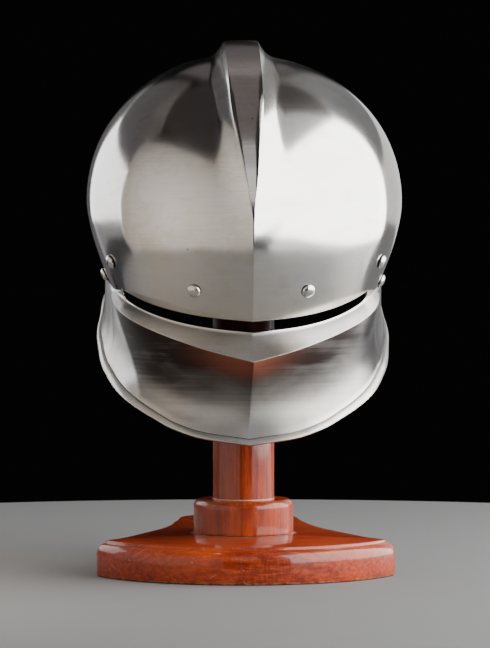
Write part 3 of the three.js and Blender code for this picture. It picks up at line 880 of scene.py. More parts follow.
@dataclass
class Skull:
    """The one-piece steel skin: bowl, comb, sight, ledge, face, tail and hem."""

    skin: Skin = field(default_factory=Skin)
    cells: int = 112
    wall: float = 2
    flat_lines: tuple[float, ...] = (0.35, 0.7, 0.99)
    fillet_lines: tuple[float, ...] = (0, 0.008, 0.08, 0.17, 0.28, 0.41, 0.56, 0.72, 0.87, 1)
    sight_top: float = 7.3
    sight_bottom: float = -1.6
    line_start: float = 0.1
    line_passes: int = 7
    sight_rears: Pair = (-57, -60.5)
    sight_least: float = 0.12
    sight_spread: float = 12
    above_sight: tuple[float, ...] = (0.66, 0.33, 0.08)
    ledge_rows: tuple[float, ...] = (0.12, 0.3, 0.5, 0.7, 0.86, 0.955, 0.988, 1)
    face_rows: tuple[float, ...] = (0.007, 0.025, 0.06, 0.11, 0.17, 0.23, 0.29, 0.35, 0.41, 0.47, 0.53,
                                    0.58, 0.63, 0.68, 0.73, 0.78, 0.83, 0.875)
    # Distance up from the rim, lift off the face, from the crevice round to the inside.
    hem: tuple[Pair, ...] = (
        (5.1, 0), (4.62, -0.06), (4.48, -0.5), (4.34, -0.5), (4.25, 0.5), (4.16, 1.25), (3.95, 1.6),
        (3.4, 1.88), (2.4, 2.08), (1.4, 2.02), (0.6, 1.7), (0.05, 1.15), (-0.25, 0.45), (-0.3, -0.3),
        (-0.2, -1.1), (0.1, -1.7))
    # Angle from the front, share of the hem's full size.
    hem_width: Table = columns((0, 0.7), (25, 0.78), (50, 0.95), (65, 1), (180, 1))
    # Rings of the hem between which its crevice carries painted shade
    hem_crevice: tuple[int, int] = (1, 4)
    # Sides, in millimetres, at which the strength of the painted shade over the face's hollow is listed
    painted_shade_sides: tuple[float, ...] = (-85, -45, -12, 12, 45, 80, 86, 92)
    # Share of the way down the face, then the strength of the painted shade there at each of the sides above.
    painted_shade_rows: Table = columns(
        (0, 1.05, 1.05, 0.95, 0.95, 1, 0.95, 1.05, 1.1), (0.25, 1.05, 1.05, 0.9, 0.92, 1, 0.88, 1.05, 1.12),
        (0.5, 1, 0.98, 0.75, 0.78, 0.84, 0.82, 1, 1.12),
        (0.62, 0.98, 0.88, 0.58, 0.66, 0.74, 0.78, 0.95, 1.1),
        (0.8, 0.8, 0.4, 0.15, 0.4, 0.48, 0.54, 0.8, 1.05), (1, 0.45, 0.15, 0.05, 0.15, 0.25, 0.35, 0.6, 0.9))
    # Angles from the front over which the painted shade fades out, then the slanted line on the right beyond
    # which it stops
    painted_shade_end: Pair = (86, 104)
    bright_side: float = 94
    bright_slope: float = 20
    bright_soft: float = 3
    # Share of the way down the face, and the strength there of the painted reflection of the wooden base.
    painted_reflection_rows: Table = columns((0, 1), (0.12, 1), (0.22, 0.6), (0.34, 0))
    painted_reflection_side: float = -5
    painted_reflection_reach: float = 23
    # Depth, size and shift of each pattern of dents.
    dents: tuple[tuple[float, float, Triple], ...] = ((0.16, 38, (0, 0, 0)), (0.035, 13, (7, 3, 5)))

    def grid_place(self, across: np.ndarray, along: np.ndarray) -> tuple[np.ndarray, np.ndarray]:
        """Reach and heading of places on a square grid stretched over the bowl."""
        x = across * np.sqrt(1 - along ** 2 / 2)
        y = along * np.sqrt(1 - across ** 2 / 2)
        return np.minimum(1, np.hypot(x, y)), np.arctan2(x, -y)

    def grid(self) -> tuple[np.ndarray, np.ndarray]:
        """The square grid of bowl places.

        Returns:
            Reach and heading, as rows from front to back.
        """
        half = self.cells // 2
        along = np.linspace(-1, 1, self.cells + 1)
        middle = self.skin.bowl(*self.grid_place(np.zeros_like(along), along))
        angle = self.skin.crown_angle(middle[:, 1], middle[:, 2])
        comb = self.skin.comb
        flat = np.maximum(comb.keel_line, comb.flat(angle))
        wanted = [flat * share for share in self.flat_lines]
        wanted += [flat + comb.fillet(angle) * share for share in self.fillet_lines]
        lines = [np.zeros_like(along)]
        for distance in wanted:
            across = np.full_like(along, self.line_start)
            for _ in range(self.line_passes):
                across *= distance / self.skin.bowl(*self.grid_place(across, along))[:, 0]
            lines.append(across)
        rest = half - len(wanted)
        start = lines[-1]
        lines += [start + (1 - start) * i / rest for i in range(1, rest + 1)]
        right = np.stack(lines, axis=1)
        across = np.concatenate([-right[:, :0:-1], right], axis=1)
        return self.grid_place(across, np.repeat(along[:, None], self.cells + 1, axis=1))

    def edge(self) -> list[tuple[int, int]]:
        """Row and column of each place round the grid's edge, once round from the front left.

        Returns:
            The pairs of row and column.
        """
        n = self.cells
        front = [(0, i) for i in range(n)]
        right = [(i, n) for i in range(n)]
        rear = [(n, n - i) for i in range(n)]
        left = [(n - i, 0) for i in range(n)]
        return front + right + rear + left

    def lips(self, heading: np.ndarray) -> tuple[np.ndarray, np.ndarray, np.ndarray]:
        """The sight's lip heights on each column.

        Args:
            heading: Each column's heading.

        Returns:
            Lower and upper heights, and whether the sight is open from this column to the next.
        """
        radius = (self.sight_top - self.sight_bottom) / 2
        middle = self.sight_bottom + radius
        back = self.skin.bowl(1, heading, middle)[:, 1]
        rear = np.where(heading < 0, *self.sight_rears)
        ahead = back < rear
        into = np.clip((back - (rear - radius)) / radius, 0, 1)
        half = radius * np.sqrt(np.maximum(0, 1 - into ** 2))
        closed = np.clip((back - rear) / self.sight_spread, 0, 1)
        half = np.where(ahead, np.maximum(half, self.sight_least),
                        self.sight_least + (radius - self.sight_least) * closed)
        inside = ahead & np.roll(ahead, -1)
        return middle - half, middle + half, inside

    @staticmethod
    def from_front(points: np.ndarray) -> np.ndarray:
        """Each point's angle from the front, in degrees, the same to the left as to the right."""
        return np.degrees(np.arctan2(np.abs(points[:, 0]), -points[:, 1]))

    def lower_rings(self, heading: np.ndarray) -> tuple[list[np.ndarray], list[np.ndarray], np.ndarray]:
        """The rings of the skin below the bowl.

        Args:
            heading: Each column's heading.

        Returns:
            Skin rings down to the rim, hem rings round it, and where the sight is open.
        """
        skin = self.skin
        low, high, inside = self.lips(heading)
        rings = [skin.bowl(1, heading, high + (skin.skirt - high) * share) for share in self.above_sight]
        rings += [skin.bowl(1, heading, up) for up in (high, low, skin.ledge_root)]
        root = rings[-1]
        angle = self.from_front(root)
        start = np.hypot(root[:, 0], root[:, 1])
        out = root[:, :2] / start[:, None]
        keys, overhang, edge_up = skin.ledge
        crease = skin.crease * (1 - np.clip(np.abs(root[:, 0]) / skin.crease_reach, 0, 1)) ** 2
        edge_radius = start + Profile(keys, overhang).at(angle) + crease
        edge_height = Profile(keys, edge_up).at(angle)
        rim_side, rim_back, rim_up = (np.array(column) for column in skin.rim)
        rim_angle = tuple(np.degrees(np.arctan2(rim_side, -rim_back)))
        rim_radius = Profile(rim_angle, tuple(np.hypot(rim_side, rim_back))).at(angle)
        rim_height = Profile(rim_angle, tuple(rim_up)).at(angle)
        out_share, down_share = skin.crease_at_rim
        rim_radius, rim_height = rim_radius + out_share * crease, rim_height - down_share * crease
        chord = np.stack([rim_radius - edge_radius, rim_height - edge_height], axis=1)
        length = np.linalg.norm(chord, axis=1)
        chord /= length[:, None]
        depth = Profile(*skin.dish).at(angle)
        power = math.log(0.5) / math.log(skin.dish_deepest)

        def face(share: np.ndarray | float, lift: float = 0) -> np.ndarray:
            """Points a share of the way from the ledge to the rim, lifted off the skin.

            Args:
                share: 0 at the ledge's edge and 1 at the rim.
                lift: Height above the skin.

            Returns:
                One ring of points.
            """
            share = np.broadcast_to(share, length.shape)
            inward = depth * np.sin(math.pi * np.minimum(1, share) ** power) - lift
            radius = edge_radius + chord[:, 0] * length * share + chord[:, 1] * inward
            up = edge_height + chord[:, 1] * length * share - chord[:, 0] * inward
            return np.column_stack([out * radius[:, None], up])

        for share in self.ledge_rows:
            radius = start + (edge_radius - start) * share
            up = root[:, 2] + (edge_height - root[:, 2]) * share
            rings.append(np.column_stack([out * radius[:, None], up]))
        rings = [skin.leaned(ring) for ring in rings]
        rings += [skin.leaned(face(share), 1 - share) for share in self.face_rows]
        rings.append(face(1.0))
        width = Profile(*self.hem_width).at(angle)
        hem = [face(1 - up * width / length, lift * width) for up, lift in self.hem]
        return rings, hem, inside

    def dented(self, points: np.ndarray, normals: np.ndarray) -> np.ndarray:
        """Adds the shallow dents that hammering and filing left.

        Args:
            points: Places on the skin.
            normals: Outward directions there.

        Returns:
            The dented places.
        """
        depth = np.zeros(len(points))
        for deep, size, shift in self.dents:
            depth += [deep * noise.noise(Vector(point) / size + Vector(shift)) for point in points]
        return points + normals * depth[:, None]

    @staticmethod
    def normals(points: np.ndarray, faces: np.ndarray) -> np.ndarray:
        """Outward directions at the corners of a skin of four-sided faces.

        Args:
            points: The corners' places.
            faces: Corner numbers of each face.

        Returns:
            One direction for each corner.
        """
        tiny = 1e-12
        across = points[faces[:, 2]] - points[faces[:, 0]]
        along = points[faces[:, 3]] - points[faces[:, 1]]
        flat = np.cross(across, along)
        total = np.zeros_like(points)
        for k in range(4):
            np.add.at(total, faces[:, k], flat)
        return total / np.maximum(tiny, np.linalg.norm(total, axis=1))[:, None]

    def build(self) -> bpy.types.Object:
        """Makes the skin's mesh with its sight open.

        Returns:
            The piece, with outside and inside faces on two material slots.
        """
        reach, heading = self.grid()
        n = self.cells
        bowl = self.skin.leaned(self.skin.bowl(reach, heading)).reshape(-1, 3)
        cell = np.arange((n + 1) ** 2).reshape(n + 1, n + 1)
        top = np.stack([cell[:-1, :-1], cell[:-1, 1:], cell[1:, 1:], cell[1:, :-1]], axis=-1).reshape(-1, 4)
        rows, places = np.array(self.edge()).T
        skin_rings, hem_rings, inside = self.lower_rings(heading[rows, places])
        count = len(rows)
        following = np.roll(np.arange(count), -1)

        def band(upper: np.ndarray, lower: np.ndarray) -> np.ndarray:
            """Faces between two rings of corner numbers."""
            return np.stack([upper, lower, lower[following], upper[following]], axis=1)

        points = np.concatenate([bowl, *skin_rings])
        ring_starts = len(bowl) + count * np.arange(len(skin_rings))
        rings = [cell[rows, places]] + [start + np.arange(count) for start in ring_starts]
        bands = [band(rings[k], rings[k + 1]) for k in range(len(rings) - 1)]
        whole = np.concatenate([top, *bands])
        normals = self.normals(points, whole)
        outer = self.dented(points, normals)
        inner = outer - normals * self.wall
        sight_band = len(self.above_sight) + 1
        upper_lip, lower_lip = rings[sight_band], rings[sight_band + 1]
        bands[sight_band] = bands[sight_band][~inside]
        shift = len(points)
        hem_starts = 2 * shift + count * np.arange(len(hem_rings))
        chain = [rings[-2]] + [start + np.arange(count) for start in hem_starts] + [rings[-1] + shift]
        hem_faces = [band(chain[k], chain[k + 1]) for k in range(len(chain) - 1)]
        inner_faces = np.concatenate([top, *bands])[:, ::-1] + shift
        lips = [band(upper_lip, upper_lip + shift)[inside],
                band(lower_lip, lower_lip + shift)[inside][:, ::-1]]
        first = np.flatnonzero(inside & ~np.roll(inside, 1))[0]
        last = following[np.flatnonzero(inside & ~np.roll(inside, -1))[0]]
        ends = [[a[j], b[j], b[j] + shift, a[j] + shift]
                for a, b, j in ((upper_lip, lower_lip, first), (lower_lip, upper_lip, last))]
        outside = np.concatenate([top, *bands[:-1], *hem_faces, *lips, ends])
        everything = np.concatenate([outside, inner_faces])
        corners = self.skin.to_frame(np.concatenate([outer, inner, *hem_rings]))
        piece = new_mesh("skull_skin", corners, [tuple(map(int, face)) for face in everything])
        self.mark_face(piece, rings[sight_band + 2:], points)
        slots = np.zeros(len(everything), dtype=np.int32)
        slots[len(outside):] = 1
        piece.data.polygons.foreach_set("material_index", slots)
        return piece

    def mark_face(self, piece: bpy.types.Object, rings: list[np.ndarray], points: np.ndarray) -> None:
        """Marks the ledge and the face, where the polish is duller than on the bowl and where painted shade
        and a painted reflection darken it.

        Args:
            piece: The skin.
            rings: Corner numbers of the rings from the ledge's root down to the rim.
            points: Places of all the skin's corners, in the helmet's own frame.
        """
        root = points[rings[0]]
        fade_start, fade_end = self.painted_shade_end
        fade = np.clip((fade_end - self.from_front(root)) / (fade_end - fade_start), 0, 1)
        near = np.exp(-((root[:, 0] - self.painted_reflection_side) / self.painted_reflection_reach) ** 2)
        count = len(piece.data.vertices)
        marks = {name: np.zeros(count, dtype=np.float32) for name in ("satin", "recess", "ember")}
        rows = (0,) * (len(self.ledge_rows) + 1) + self.face_rows + (1,)
        keys, *shares = self.painted_shade_rows
        for ring, row in zip(rings, rows):
            marks["satin"][ring] = 1
            if row == 0:
                continue
            side = points[ring][:, 0]
            bright_from = self.bright_side - self.bright_slope * row
            left = np.clip((bright_from + side) / self.bright_soft, 0, 1)
            painted_shade = np.interp(side, self.painted_shade_sides, [float(Profile(keys, share).at(row)) for share in shares])
            # Painted shade over the face's hollow, fading out on the right and towards the back
            marks["recess"][ring] = painted_shade * left * fade
            # Painted reflection of the wooden base, strongest near the middle and high on the face
            marks["ember"][ring] = near * Profile(*self.painted_reflection_rows).at(row)
        hem_start = count - len(self.hem) * len(root)
        first, last = (hem_start + ring * len(root) for ring in self.hem_crevice)
        marks["satin"][hem_start:] = 1
        # Painted shade along the crevice on the hem's inner side
        marks["recess"][first:last] = 1
        for name, values in marks.items():
            piece.data.attributes.new(name, "FLOAT", "POINT").data.foreach_set("value", values)

    def finish(self, holes: bpy.types.Object) -> bpy.types.Object:
        """Drills the rivet holes and dresses the skin.

        Args:
            holes: The drills, which are removed afterwards.

        Returns:
            The finished piece.
        """
        piece = self.build()
        for grade in (Grade.POLISHED, Grade.INSIDE):
            piece.data.materials.append(Steel(grade).material())
        drill = piece.modifiers.new("holes", "BOOLEAN")
        drill.object = holes
        drill.operation = "DIFFERENCE"
        drill.solver = "EXACT"
        applied(piece)
        bpy.data.objects.remove(holes)
        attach(piece, "root")
        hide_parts("skull")
        return piece


@dataclass
class Rivets:
    """Domed rivets round the bowl, set by Geometry Nodes on points of the skin."""

    skin: Skin = field(default_factory=Skin)
    head: float = 4.9
    dome: float = 3
    shank: float = 2.2
    hole: float = 2.5
    wall: float = 2
    end: float = 3.4
    end_thick: float = 1.2
    steps: int = 40
    lining_up: float = 26.6
    lining_at: tuple[float, ...] = (40.5, 121.5, 208.5, 288)
    # CAD node, side, back and up.
    strap_at: tuple[tuple[str, int, float, float], ...] = (
        ("strap_rivet_right", 1, -31, 0.5), ("strap_rivet_left", -1, -18, 1))
    # Shares of the end's radius and of its thickness.
    end_rows: tuple[Pair, ...] = ((0.5, 1), (0.85, 0.8), (1, 0.3), (1, 0))
    # Distances out past the head's radius and up from its underside.
    brim_rows: tuple[Pair, ...] = ((-0.1, 0), (0, 0.12), (0, 0.3))
    dome_start: float = 0.25
    dome_turns: tuple[float, float, int] = (0.12, 1.5, 14)
    drill_depth: float = 5

    def lining(self) -> Spots:
        """Place and direction of each lining rivet, by its CAD node.

        Returns:
            The places and directions.
        """
        step = 0.002
        headings = np.arange(0, math.pi, step)
        path = self.skin.bowl(1, headings, self.lining_up)
        travelled = np.concatenate(([0], np.cumsum(np.linalg.norm(np.diff(path, axis=0), axis=1))))
        spots = {}
        for i, distance in enumerate(self.lining_at, start=1):
            heading = headings[np.argmax(travelled > distance)]
            spots[f"lining_rivet_right_{i}"] = self.skin.spot(heading, self.lining_up)
            spots[f"lining_rivet_left_{i}"] = self.skin.spot(-heading, self.lining_up)
        spots["lining_rivet_rear"] = self.skin.spot(math.pi, self.lining_up)
        return spots

    def strap(self) -> Spots:
        """Place and direction of each strap rivet, by its CAD node.

        Returns:
            The places and directions.
        """
        spots = {}
        for name, side, back, up in self.strap_at:
            heading = math.acos((self.skin.set_back - back) / self.skin.front_length)
            spots[name] = self.skin.spot(side * heading, up)
        return spots

    def turned(self, name: str, profile: list[Pair]) -> bpy.types.Object:
        """A small turned solid about the upright axis.

        Args:
            name: Its name.
            profile: Radius and height of each ring, from below upwards, in millimetres.

        Returns:
            The solid, in metres.
        """
        rings = [[(radius * math.cos(a), radius * math.sin(a), up)
                  for a in np.linspace(0, 2 * math.pi, self.steps, endpoint=False)]
                 for radius, up in profile]
        points = np.array(rings).reshape(-1, 3) * MM
        faces = ring_faces(len(profile), self.steps)
        faces.append(tuple(reversed(range(self.steps))))
        faces.append(tuple((len(profile) - 1) * self.steps + j for j in range(self.steps)))
        return new_mesh(name, points, faces)

    def pattern(self) -> bpy.types.Object:
        """Makes one rivet: peened end, shank and domed head, with its lower edge marked for painted shade
        where it meets the skin.

        Returns:
            The rivet.
        """
        inside = -self.wall - GAP
        shank = [(self.end * wide, inside - self.end_thick * deep) for wide, deep in self.end_rows]
        shank += [(self.shank, inside), (self.shank, GAP)]
        brim = [(self.head + out, GAP + up) for out, up in self.brim_rows]
        dome = [(self.head * math.cos(turn),
                 GAP + self.dome_start + (self.dome - self.dome_start) * math.sin(turn))
                for turn in np.linspace(*self.dome_turns)]
        pattern = self.turned("rivet_pattern", shank + brim + dome)
        # Painted shade on the head's lower edge, where it sits on the skin
        dark = np.repeat([0.0] * len(shank) + [1.0] * len(brim) + [0.0] * len(dome), self.steps)
        pattern.data.attributes.new("recess", "FLOAT", "POINT").data.foreach_set("value", dark)
        return pattern

    def drills(self) -> bpy.types.Object:
        """One mesh of cylinders where the skin is drilled.

        Returns:
            The drills, which the skin removes when it has been drilled.
        """
        drill = self.turned("drill", [(self.hole, -self.drill_depth), (self.hole, self.drill_depth)])
        joined = bmesh.new()
        for place, normal in (*self.lining().values(), *self.strap().values()):
            mesh = drill.data.copy()
            mesh.transform(self.seat(place, normal))
            joined.from_mesh(mesh)
        bpy.data.objects.remove(drill)
        holes = new_mesh("holes", np.zeros((0, 3)), [])
        joined.to_mesh(holes.data)
        joined.free()
        return holes

    def seat(self, place: np.ndarray, normal: np.ndarray) -> Matrix:
        """Where a rivet's own frame lies in the scene.

        Args:
            place: Its place on the skin, in the helmet's own frame.
            normal: Its outward direction.

        Returns:
            The turn and the place.
        """
        spot = Vector(self.skin.to_frame(place))
        tip = Matrix.Rotation(self.skin.pitch, 3, "X")
        direction = tip @ Vector(normal)
        turn = Vector((0, 0, 1)).rotation_difference(direction)
        return Matrix.Translation(spot) @ turn.to_matrix().to_4x4()

    @staticmethod
    def setter() -> Shaper:
        """The node tree that sets a rivet on each point along its outward direction.

        Returns:
            The tree, with inputs for the points, the pattern, its size and its steel.
        """
        tree = Shaper("rivet_setting", Points="Geometry", Pattern="Object", Size="Float", Steel="Material")
        pattern = tree.add("GeometryNodeObjectInfo")
        outward = tree.add("GeometryNodeInputNamedAttribute", data_type="FLOAT_VECTOR")
        aim = tree.add("FunctionNodeAlignRotationToVector", axis="Z")
        place = tree.add("GeometryNodeInstanceOnPoints")
        for source, target in (("outward", outward.inputs["Name"]),
                               (tree.given["Pattern"], pattern.inputs["Object"]),
                               (outward.outputs["Attribute"], aim.inputs["Vector"]),
                               (tree.given["Points"], place.inputs["Points"]),
                               (pattern.outputs["Geometry"], place.inputs["Instance"]),
                               (aim.outputs["Rotation"], place.inputs["Rotation"]),
                               (tree.given["Size"], place.inputs["Scale"])):
            tree.join(source, target)
        tree.end(place.outputs["Instances"], tree.given["Steel"])
        return tree

    def set_in(self, name: str, spots: Spots, setter: Shaper, **inputs: object) -> bpy.types.Object:
        """Makes the rivets of one row as one piece.

        Args:
            name: The piece's name.
            spots: Place and direction of each rivet, by its CAD node.
            setter: The node tree that sets them.
            inputs: The tree's other inputs by name.

        Returns:
            The finished piece.
        """
        seats = [self.seat(place, normal) for place, normal in spots.values()]
        piece = new_mesh(name, np.array([seat.translation for seat in seats]), [])
        outward = piece.data.attributes.new("outward", "FLOAT_VECTOR", "POINT")
        outward.data.foreach_set("vector", [c for seat in seats for c in seat.col[2][:3]])
        setter.run(piece, **inputs)
        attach(piece, "root")
        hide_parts(*spots)
        return piece

    def build(self) -> list[bpy.types.Object]:
        """Makes both rows of rivets.

        Returns:
            The two finished pieces.
        """
        pattern = self.pattern()
        steel = Steel(Grade.RIVET, smooth=0.16, rough=0.24).material()
        inputs = {"setter": self.setter(), "Pattern": pattern, "Size": 1.0, "Steel": steel}
        pieces = [self.set_in("lining_rivets", self.lining(), **inputs),
                  self.set_in("strap_rivets", self.strap(), **inputs)]
        bpy.data.objects.remove(pattern)
        return pieces


@dataclass
class Stand:
    """The wooden stand: base, collar and post."""

    thick: float = 25.3
    arc_radius: float = 116.5
    arc_back: float = -8.5
    arc_end: float = math.radians(-29)
    # Side and back.
    corner: tuple[Pair, ...] = ((108.5, -55), (101, -50))
    flank: tuple[Pair, ...] = (
        (92, -36), (80, -5), (73, 14), (64, 40), (57, 72), (52, 110), (50, 134), (42, 152), (26, 165),
        (0, 170))
    # Inset from the outline and height.
    moulding: tuple[Pair, ...] = (
        (1.6, 0), (0.7, 0.35), (0.2, 1.0), (0, 1.9), (0, 8), (0, 15), (0.25, 17.2), (0.9, 19.2), (2.0, 21),
        (3.4, 22.2), (5.0, 23), (6.3, 23.35), (6.5, 23.5), (6.55, 24.9), (6.75, 25.2), (7.1, 25.3))
    collar_radius: float = 35.8
    collar_top: float = 50
    collar_round: float = 5
    # Distances out and up from the corner that is worked.
    collar_foot: tuple[Pair, ...] = ((-0.6, 0), (-0.15, 0.2), (0, 0.7))
    collar_mouth: tuple[Pair, ...] = ((0.8, 0), (0.15, -0.15), (0, -0.8))
    collar_start: float = 2
    post_radius: float = 22
    head_radius: float = 70
    post_bevel: Pair = (0.4, 0.5)
    head_round: float = 3
    below_round: float = 1
    arc_steps: int = 40
    corner_steps: int = 12
    flank_steps: int = 9
    collar_steps: int = 6
    post_steps: int = 24
    head_steps: int = 10
    around: int = 128
    weld: float = 0.01

    def outline(self) -> np.ndarray:
        """The base's outline, once round from the middle of the front.

        Returns:
            Side and back of each point.
        """
        arc = [(self.arc_radius * math.cos(a), self.arc_back + self.arc_radius * math.sin(a))
               for a in np.linspace(-math.pi / 2, self.arc_end, self.arc_steps)]
        start, (control, end) = arc[-1], self.corner
        turn = []
        for t in np.linspace(0, 1, self.corner_steps)[1:]:
            turn.append(tuple((1 - t) ** 2 * a + 2 * t * (1 - t) * c + t ** 2 * b
                              for a, c, b in zip(start, control, end)))
        knots = [end, *self.flank]
        side = []
        for k in range(len(knots) - 1):
            around = (knots[max(0, k - 1)], knots[k], knots[k + 1], knots[min(len(knots) - 1, k + 2)])
            p0, p1, p2, p3 = (np.array(p, float) for p in around)
            for t in np.linspace(0, 1, self.flank_steps)[1:]:
                side.append(tuple(0.5 * (2 * p1 + (p2 - p0) * t + (2 * p0 - 5 * p1 + 4 * p2 - p3) * t ** 2
                                         + (3 * p1 - p0 - 3 * p2 + p3) * t ** 3)))
        right = np.array(arc + turn + side)
        left = right[1:-1][::-1] * (-1, 1)
        return np.concatenate([right, left])

    def base(self) -> bpy.types.Object:
        """Makes the moulded base board.

        Returns:
            The finished piece.
        """
        outline = self.outline()
        along = np.roll(outline, -1, axis=0) - np.roll(outline, 1, axis=0)
        along /= np.linalg.norm(along, axis=1)[:, None]
        inward = np.stack([-along[:, 1], along[:, 0]], axis=1)
        rings = [np.column_stack([outline + inward * inset, np.full(len(outline), up)])
                 for inset, up in self.moulding]
        count = len(outline)
        points = np.concatenate([*rings, [[0, 0, 0]], [[0, 0, self.thick]]]) * MM
        faces = ring_faces(len(rings), count)
        last = (len(rings) - 1) * count
        for j in range(count):
            after = (j + 1) % count
            faces += [(last + count, after, j), (last + count + 1, last + j, last + after)]
        piece = new_mesh("base_board", points, faces)
        piece.data.materials.append(Varnish(Grain.ACROSS).material())
        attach(piece, "root")
        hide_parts("stand_base")
        return piece

    def lathe(self) -> Shaper:
        """The node tree that turns a profile about the upright axis.

        Returns:
            The tree, with inputs for the profile, its number of points, the steps round and the wood.
        """
        tree = Shaper("lathe", Profile="Geometry", Points="Int", Steps="Int", Wood="Material")
        grid, spot = tree.add("GeometryNodeMeshGrid"), tree.add("GeometryNodeInputPosition")
        where, row = tree.add("ShaderNodeSeparateXYZ"), tree.add("ShaderNodeSeparateXYZ")
        last = tree.math("SUBTRACT", tree.given["Points"], 1)
        along = tree.math("MULTIPLY", tree.math("ADD", where.outputs["X"], 0.5), last)
        turn = tree.math("MULTIPLY", tree.math("ADD", where.outputs["Y"], 0.5), 2 * math.pi)
        sample = tree.add("GeometryNodeSampleIndex", data_type="FLOAT_VECTOR", domain="POINT")
        place = tree.add("ShaderNodeCombineXYZ")
        shape, weld = tree.add("GeometryNodeSetPosition"), tree.add("GeometryNodeMergeByDistance")
        radius = row.outputs["X"]
        for source, target in ((tree.given["Points"], grid.inputs["Vertices X"]),
                               (tree.math("ADD", tree.given["Steps"], 1), grid.inputs["Vertices Y"]),
                               (spot.outputs["Position"], where.inputs["Vector"]),
                               (tree.given["Profile"], sample.inputs["Geometry"]),
                               (spot.outputs["Position"], sample.inputs["Value"]),
                               (tree.math("ROUND", along), sample.inputs["Index"]),
                               (sample.outputs["Value"], row.inputs["Vector"]),
                               (tree.math("MULTIPLY", radius, tree.math("COSINE", turn)), place.inputs["X"]),
                               (tree.math("MULTIPLY", radius, tree.math("SINE", turn)), place.inputs["Y"]),
                               (row.outputs["Z"], place.inputs["Z"]),
                               (grid.outputs["Mesh"], shape.inputs["Geometry"]),
                               (place.outputs["Vector"], shape.inputs["Position"]),
                               (shape.outputs["Geometry"], weld.inputs["Geometry"]),
                               (self.weld * MM, weld.inputs["Distance"])):
            tree.join(source, target)
        tree.end(weld.outputs["Geometry"], tree.given["Wood"])
        return tree

    def turn(self, name: str, node: str, profile: list[Pair], lathe: Shaper,
             wood: bpy.types.Material) -> bpy.types.Object:
        """Turns one wooden piece from its profile.

        Args:
            name: The piece's name.
            node: The CAD node that it stands for.
            profile: Radius and height of each point, once round the section.
            lathe: The node tree that turns it.
            wood: Its finish.

        Returns:
            The finished piece.
        """
        rows = np.array([(radius, 0, up) for radius, up in profile]) * MM
        piece = new_mesh(name, rows, [])
        lathe.run(piece, Points=len(profile), Steps=self.around, Wood=wood)
        shape = bmesh.new()
        shape.from_mesh(piece.data)
        bmesh.ops.recalc_face_normals(shape, faces=shape.faces)
        shape.to_mesh(piece.data)
        shape.free()
        piece.data.shade_smooth()
        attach(piece, "root")
        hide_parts(node)
        return piece

    @staticmethod
    def rounded(radius: float, top: float, bend: float, steps: int = 10) -> list[Pair]:
        """A rounded outer corner of a turned profile, from the side up to the top."""
        return [(radius - bend + bend * math.cos(a), top - bend + bend * math.sin(a))
                for a in np.linspace(0, math.pi / 2, steps)]

    def collar_profile(self) -> list[Pair]:
        """The collar's section, once round.

        Returns:
            Radius and height of each point.
        """
        foot, bore = self.thick + GAP, self.post_radius + GAP
        radius, top = self.collar_radius, self.collar_top
        foot_edge = [(radius + out, foot + up) for out, up in self.collar_foot]
        ends = foot + self.collar_start, top - self.collar_round - self.below_round
        middle = [(radius, up) for up in np.linspace(*ends, self.collar_steps)]
        crown = self.rounded(radius, top, self.collar_round)
        mouth = [(bore + out, top + up) for out, up in self.collar_mouth]
        return [(bore, foot), *foot_edge, *middle, *crown, *mouth, (bore, foot)]

    def post_profile(self) -> list[Pair]:
        """The post's section, from its foot round its side to its rounded head.

        Returns:
            Radius and height of each point.
        """
        foot = self.thick + GAP
        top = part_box("stand_post")[1].z / MM
        flat_to = self.post_radius - self.head_round
        shoulder = top - flat_to ** 2 / (2 * self.head_radius)
        bevel_in, bevel_up = self.post_bevel
        ends = foot + bevel_up, shoulder - self.head_round - self.below_round
        side = [(self.post_radius, up) for up in np.linspace(*ends, self.post_steps)]
        head = [(r, top - r ** 2 / (2 * self.head_radius))
                for r in np.linspace(flat_to, 0, self.head_steps)[1:]]
        return [(0, foot), (self.post_radius - bevel_in, foot), *side,
                *self.rounded(self.post_radius, shoulder, self.head_round), *head]

    def build(self) -> list[bpy.types.Object]:
        """Makes the base, the collar and the post.

        Returns:
            The finished pieces.
        """
        lathe = self.lathe()
        wood = Varnish(Grain.UPRIGHT).material()
        return [
            self.base(),
            self.turn("turned_collar", "stand_collar", self.collar_profile(), lathe, wood),
            self.turn("turned_post", "stand_post", self.post_profile(), lathe, wood),
        ]


@dataclass(frozen=True)
class Panel:
    """One upright soft box, in a plane that faces the post.

    The azimuth runs from the front towards the right. Start and end are measured along the plane from
    the place nearest the post, to the right as seen from the post.
    """

    name: str
    azimuth: float
    distance: float
    start: float
    end: float
    bottom: float
    top: float
    glow: float
    tint: Triple = (1, 1, 1)
    spread: float = 180


@dataclass(frozen=True)
class Overhead:
    """A level light above the helmet, which shines straight down."""

    name: str
    side: float
    back: float
    height: float
    width: float
    depth: float
    glow: float
    tint: Triple = (1, 0.88, 0.88)
    spread: float = 180


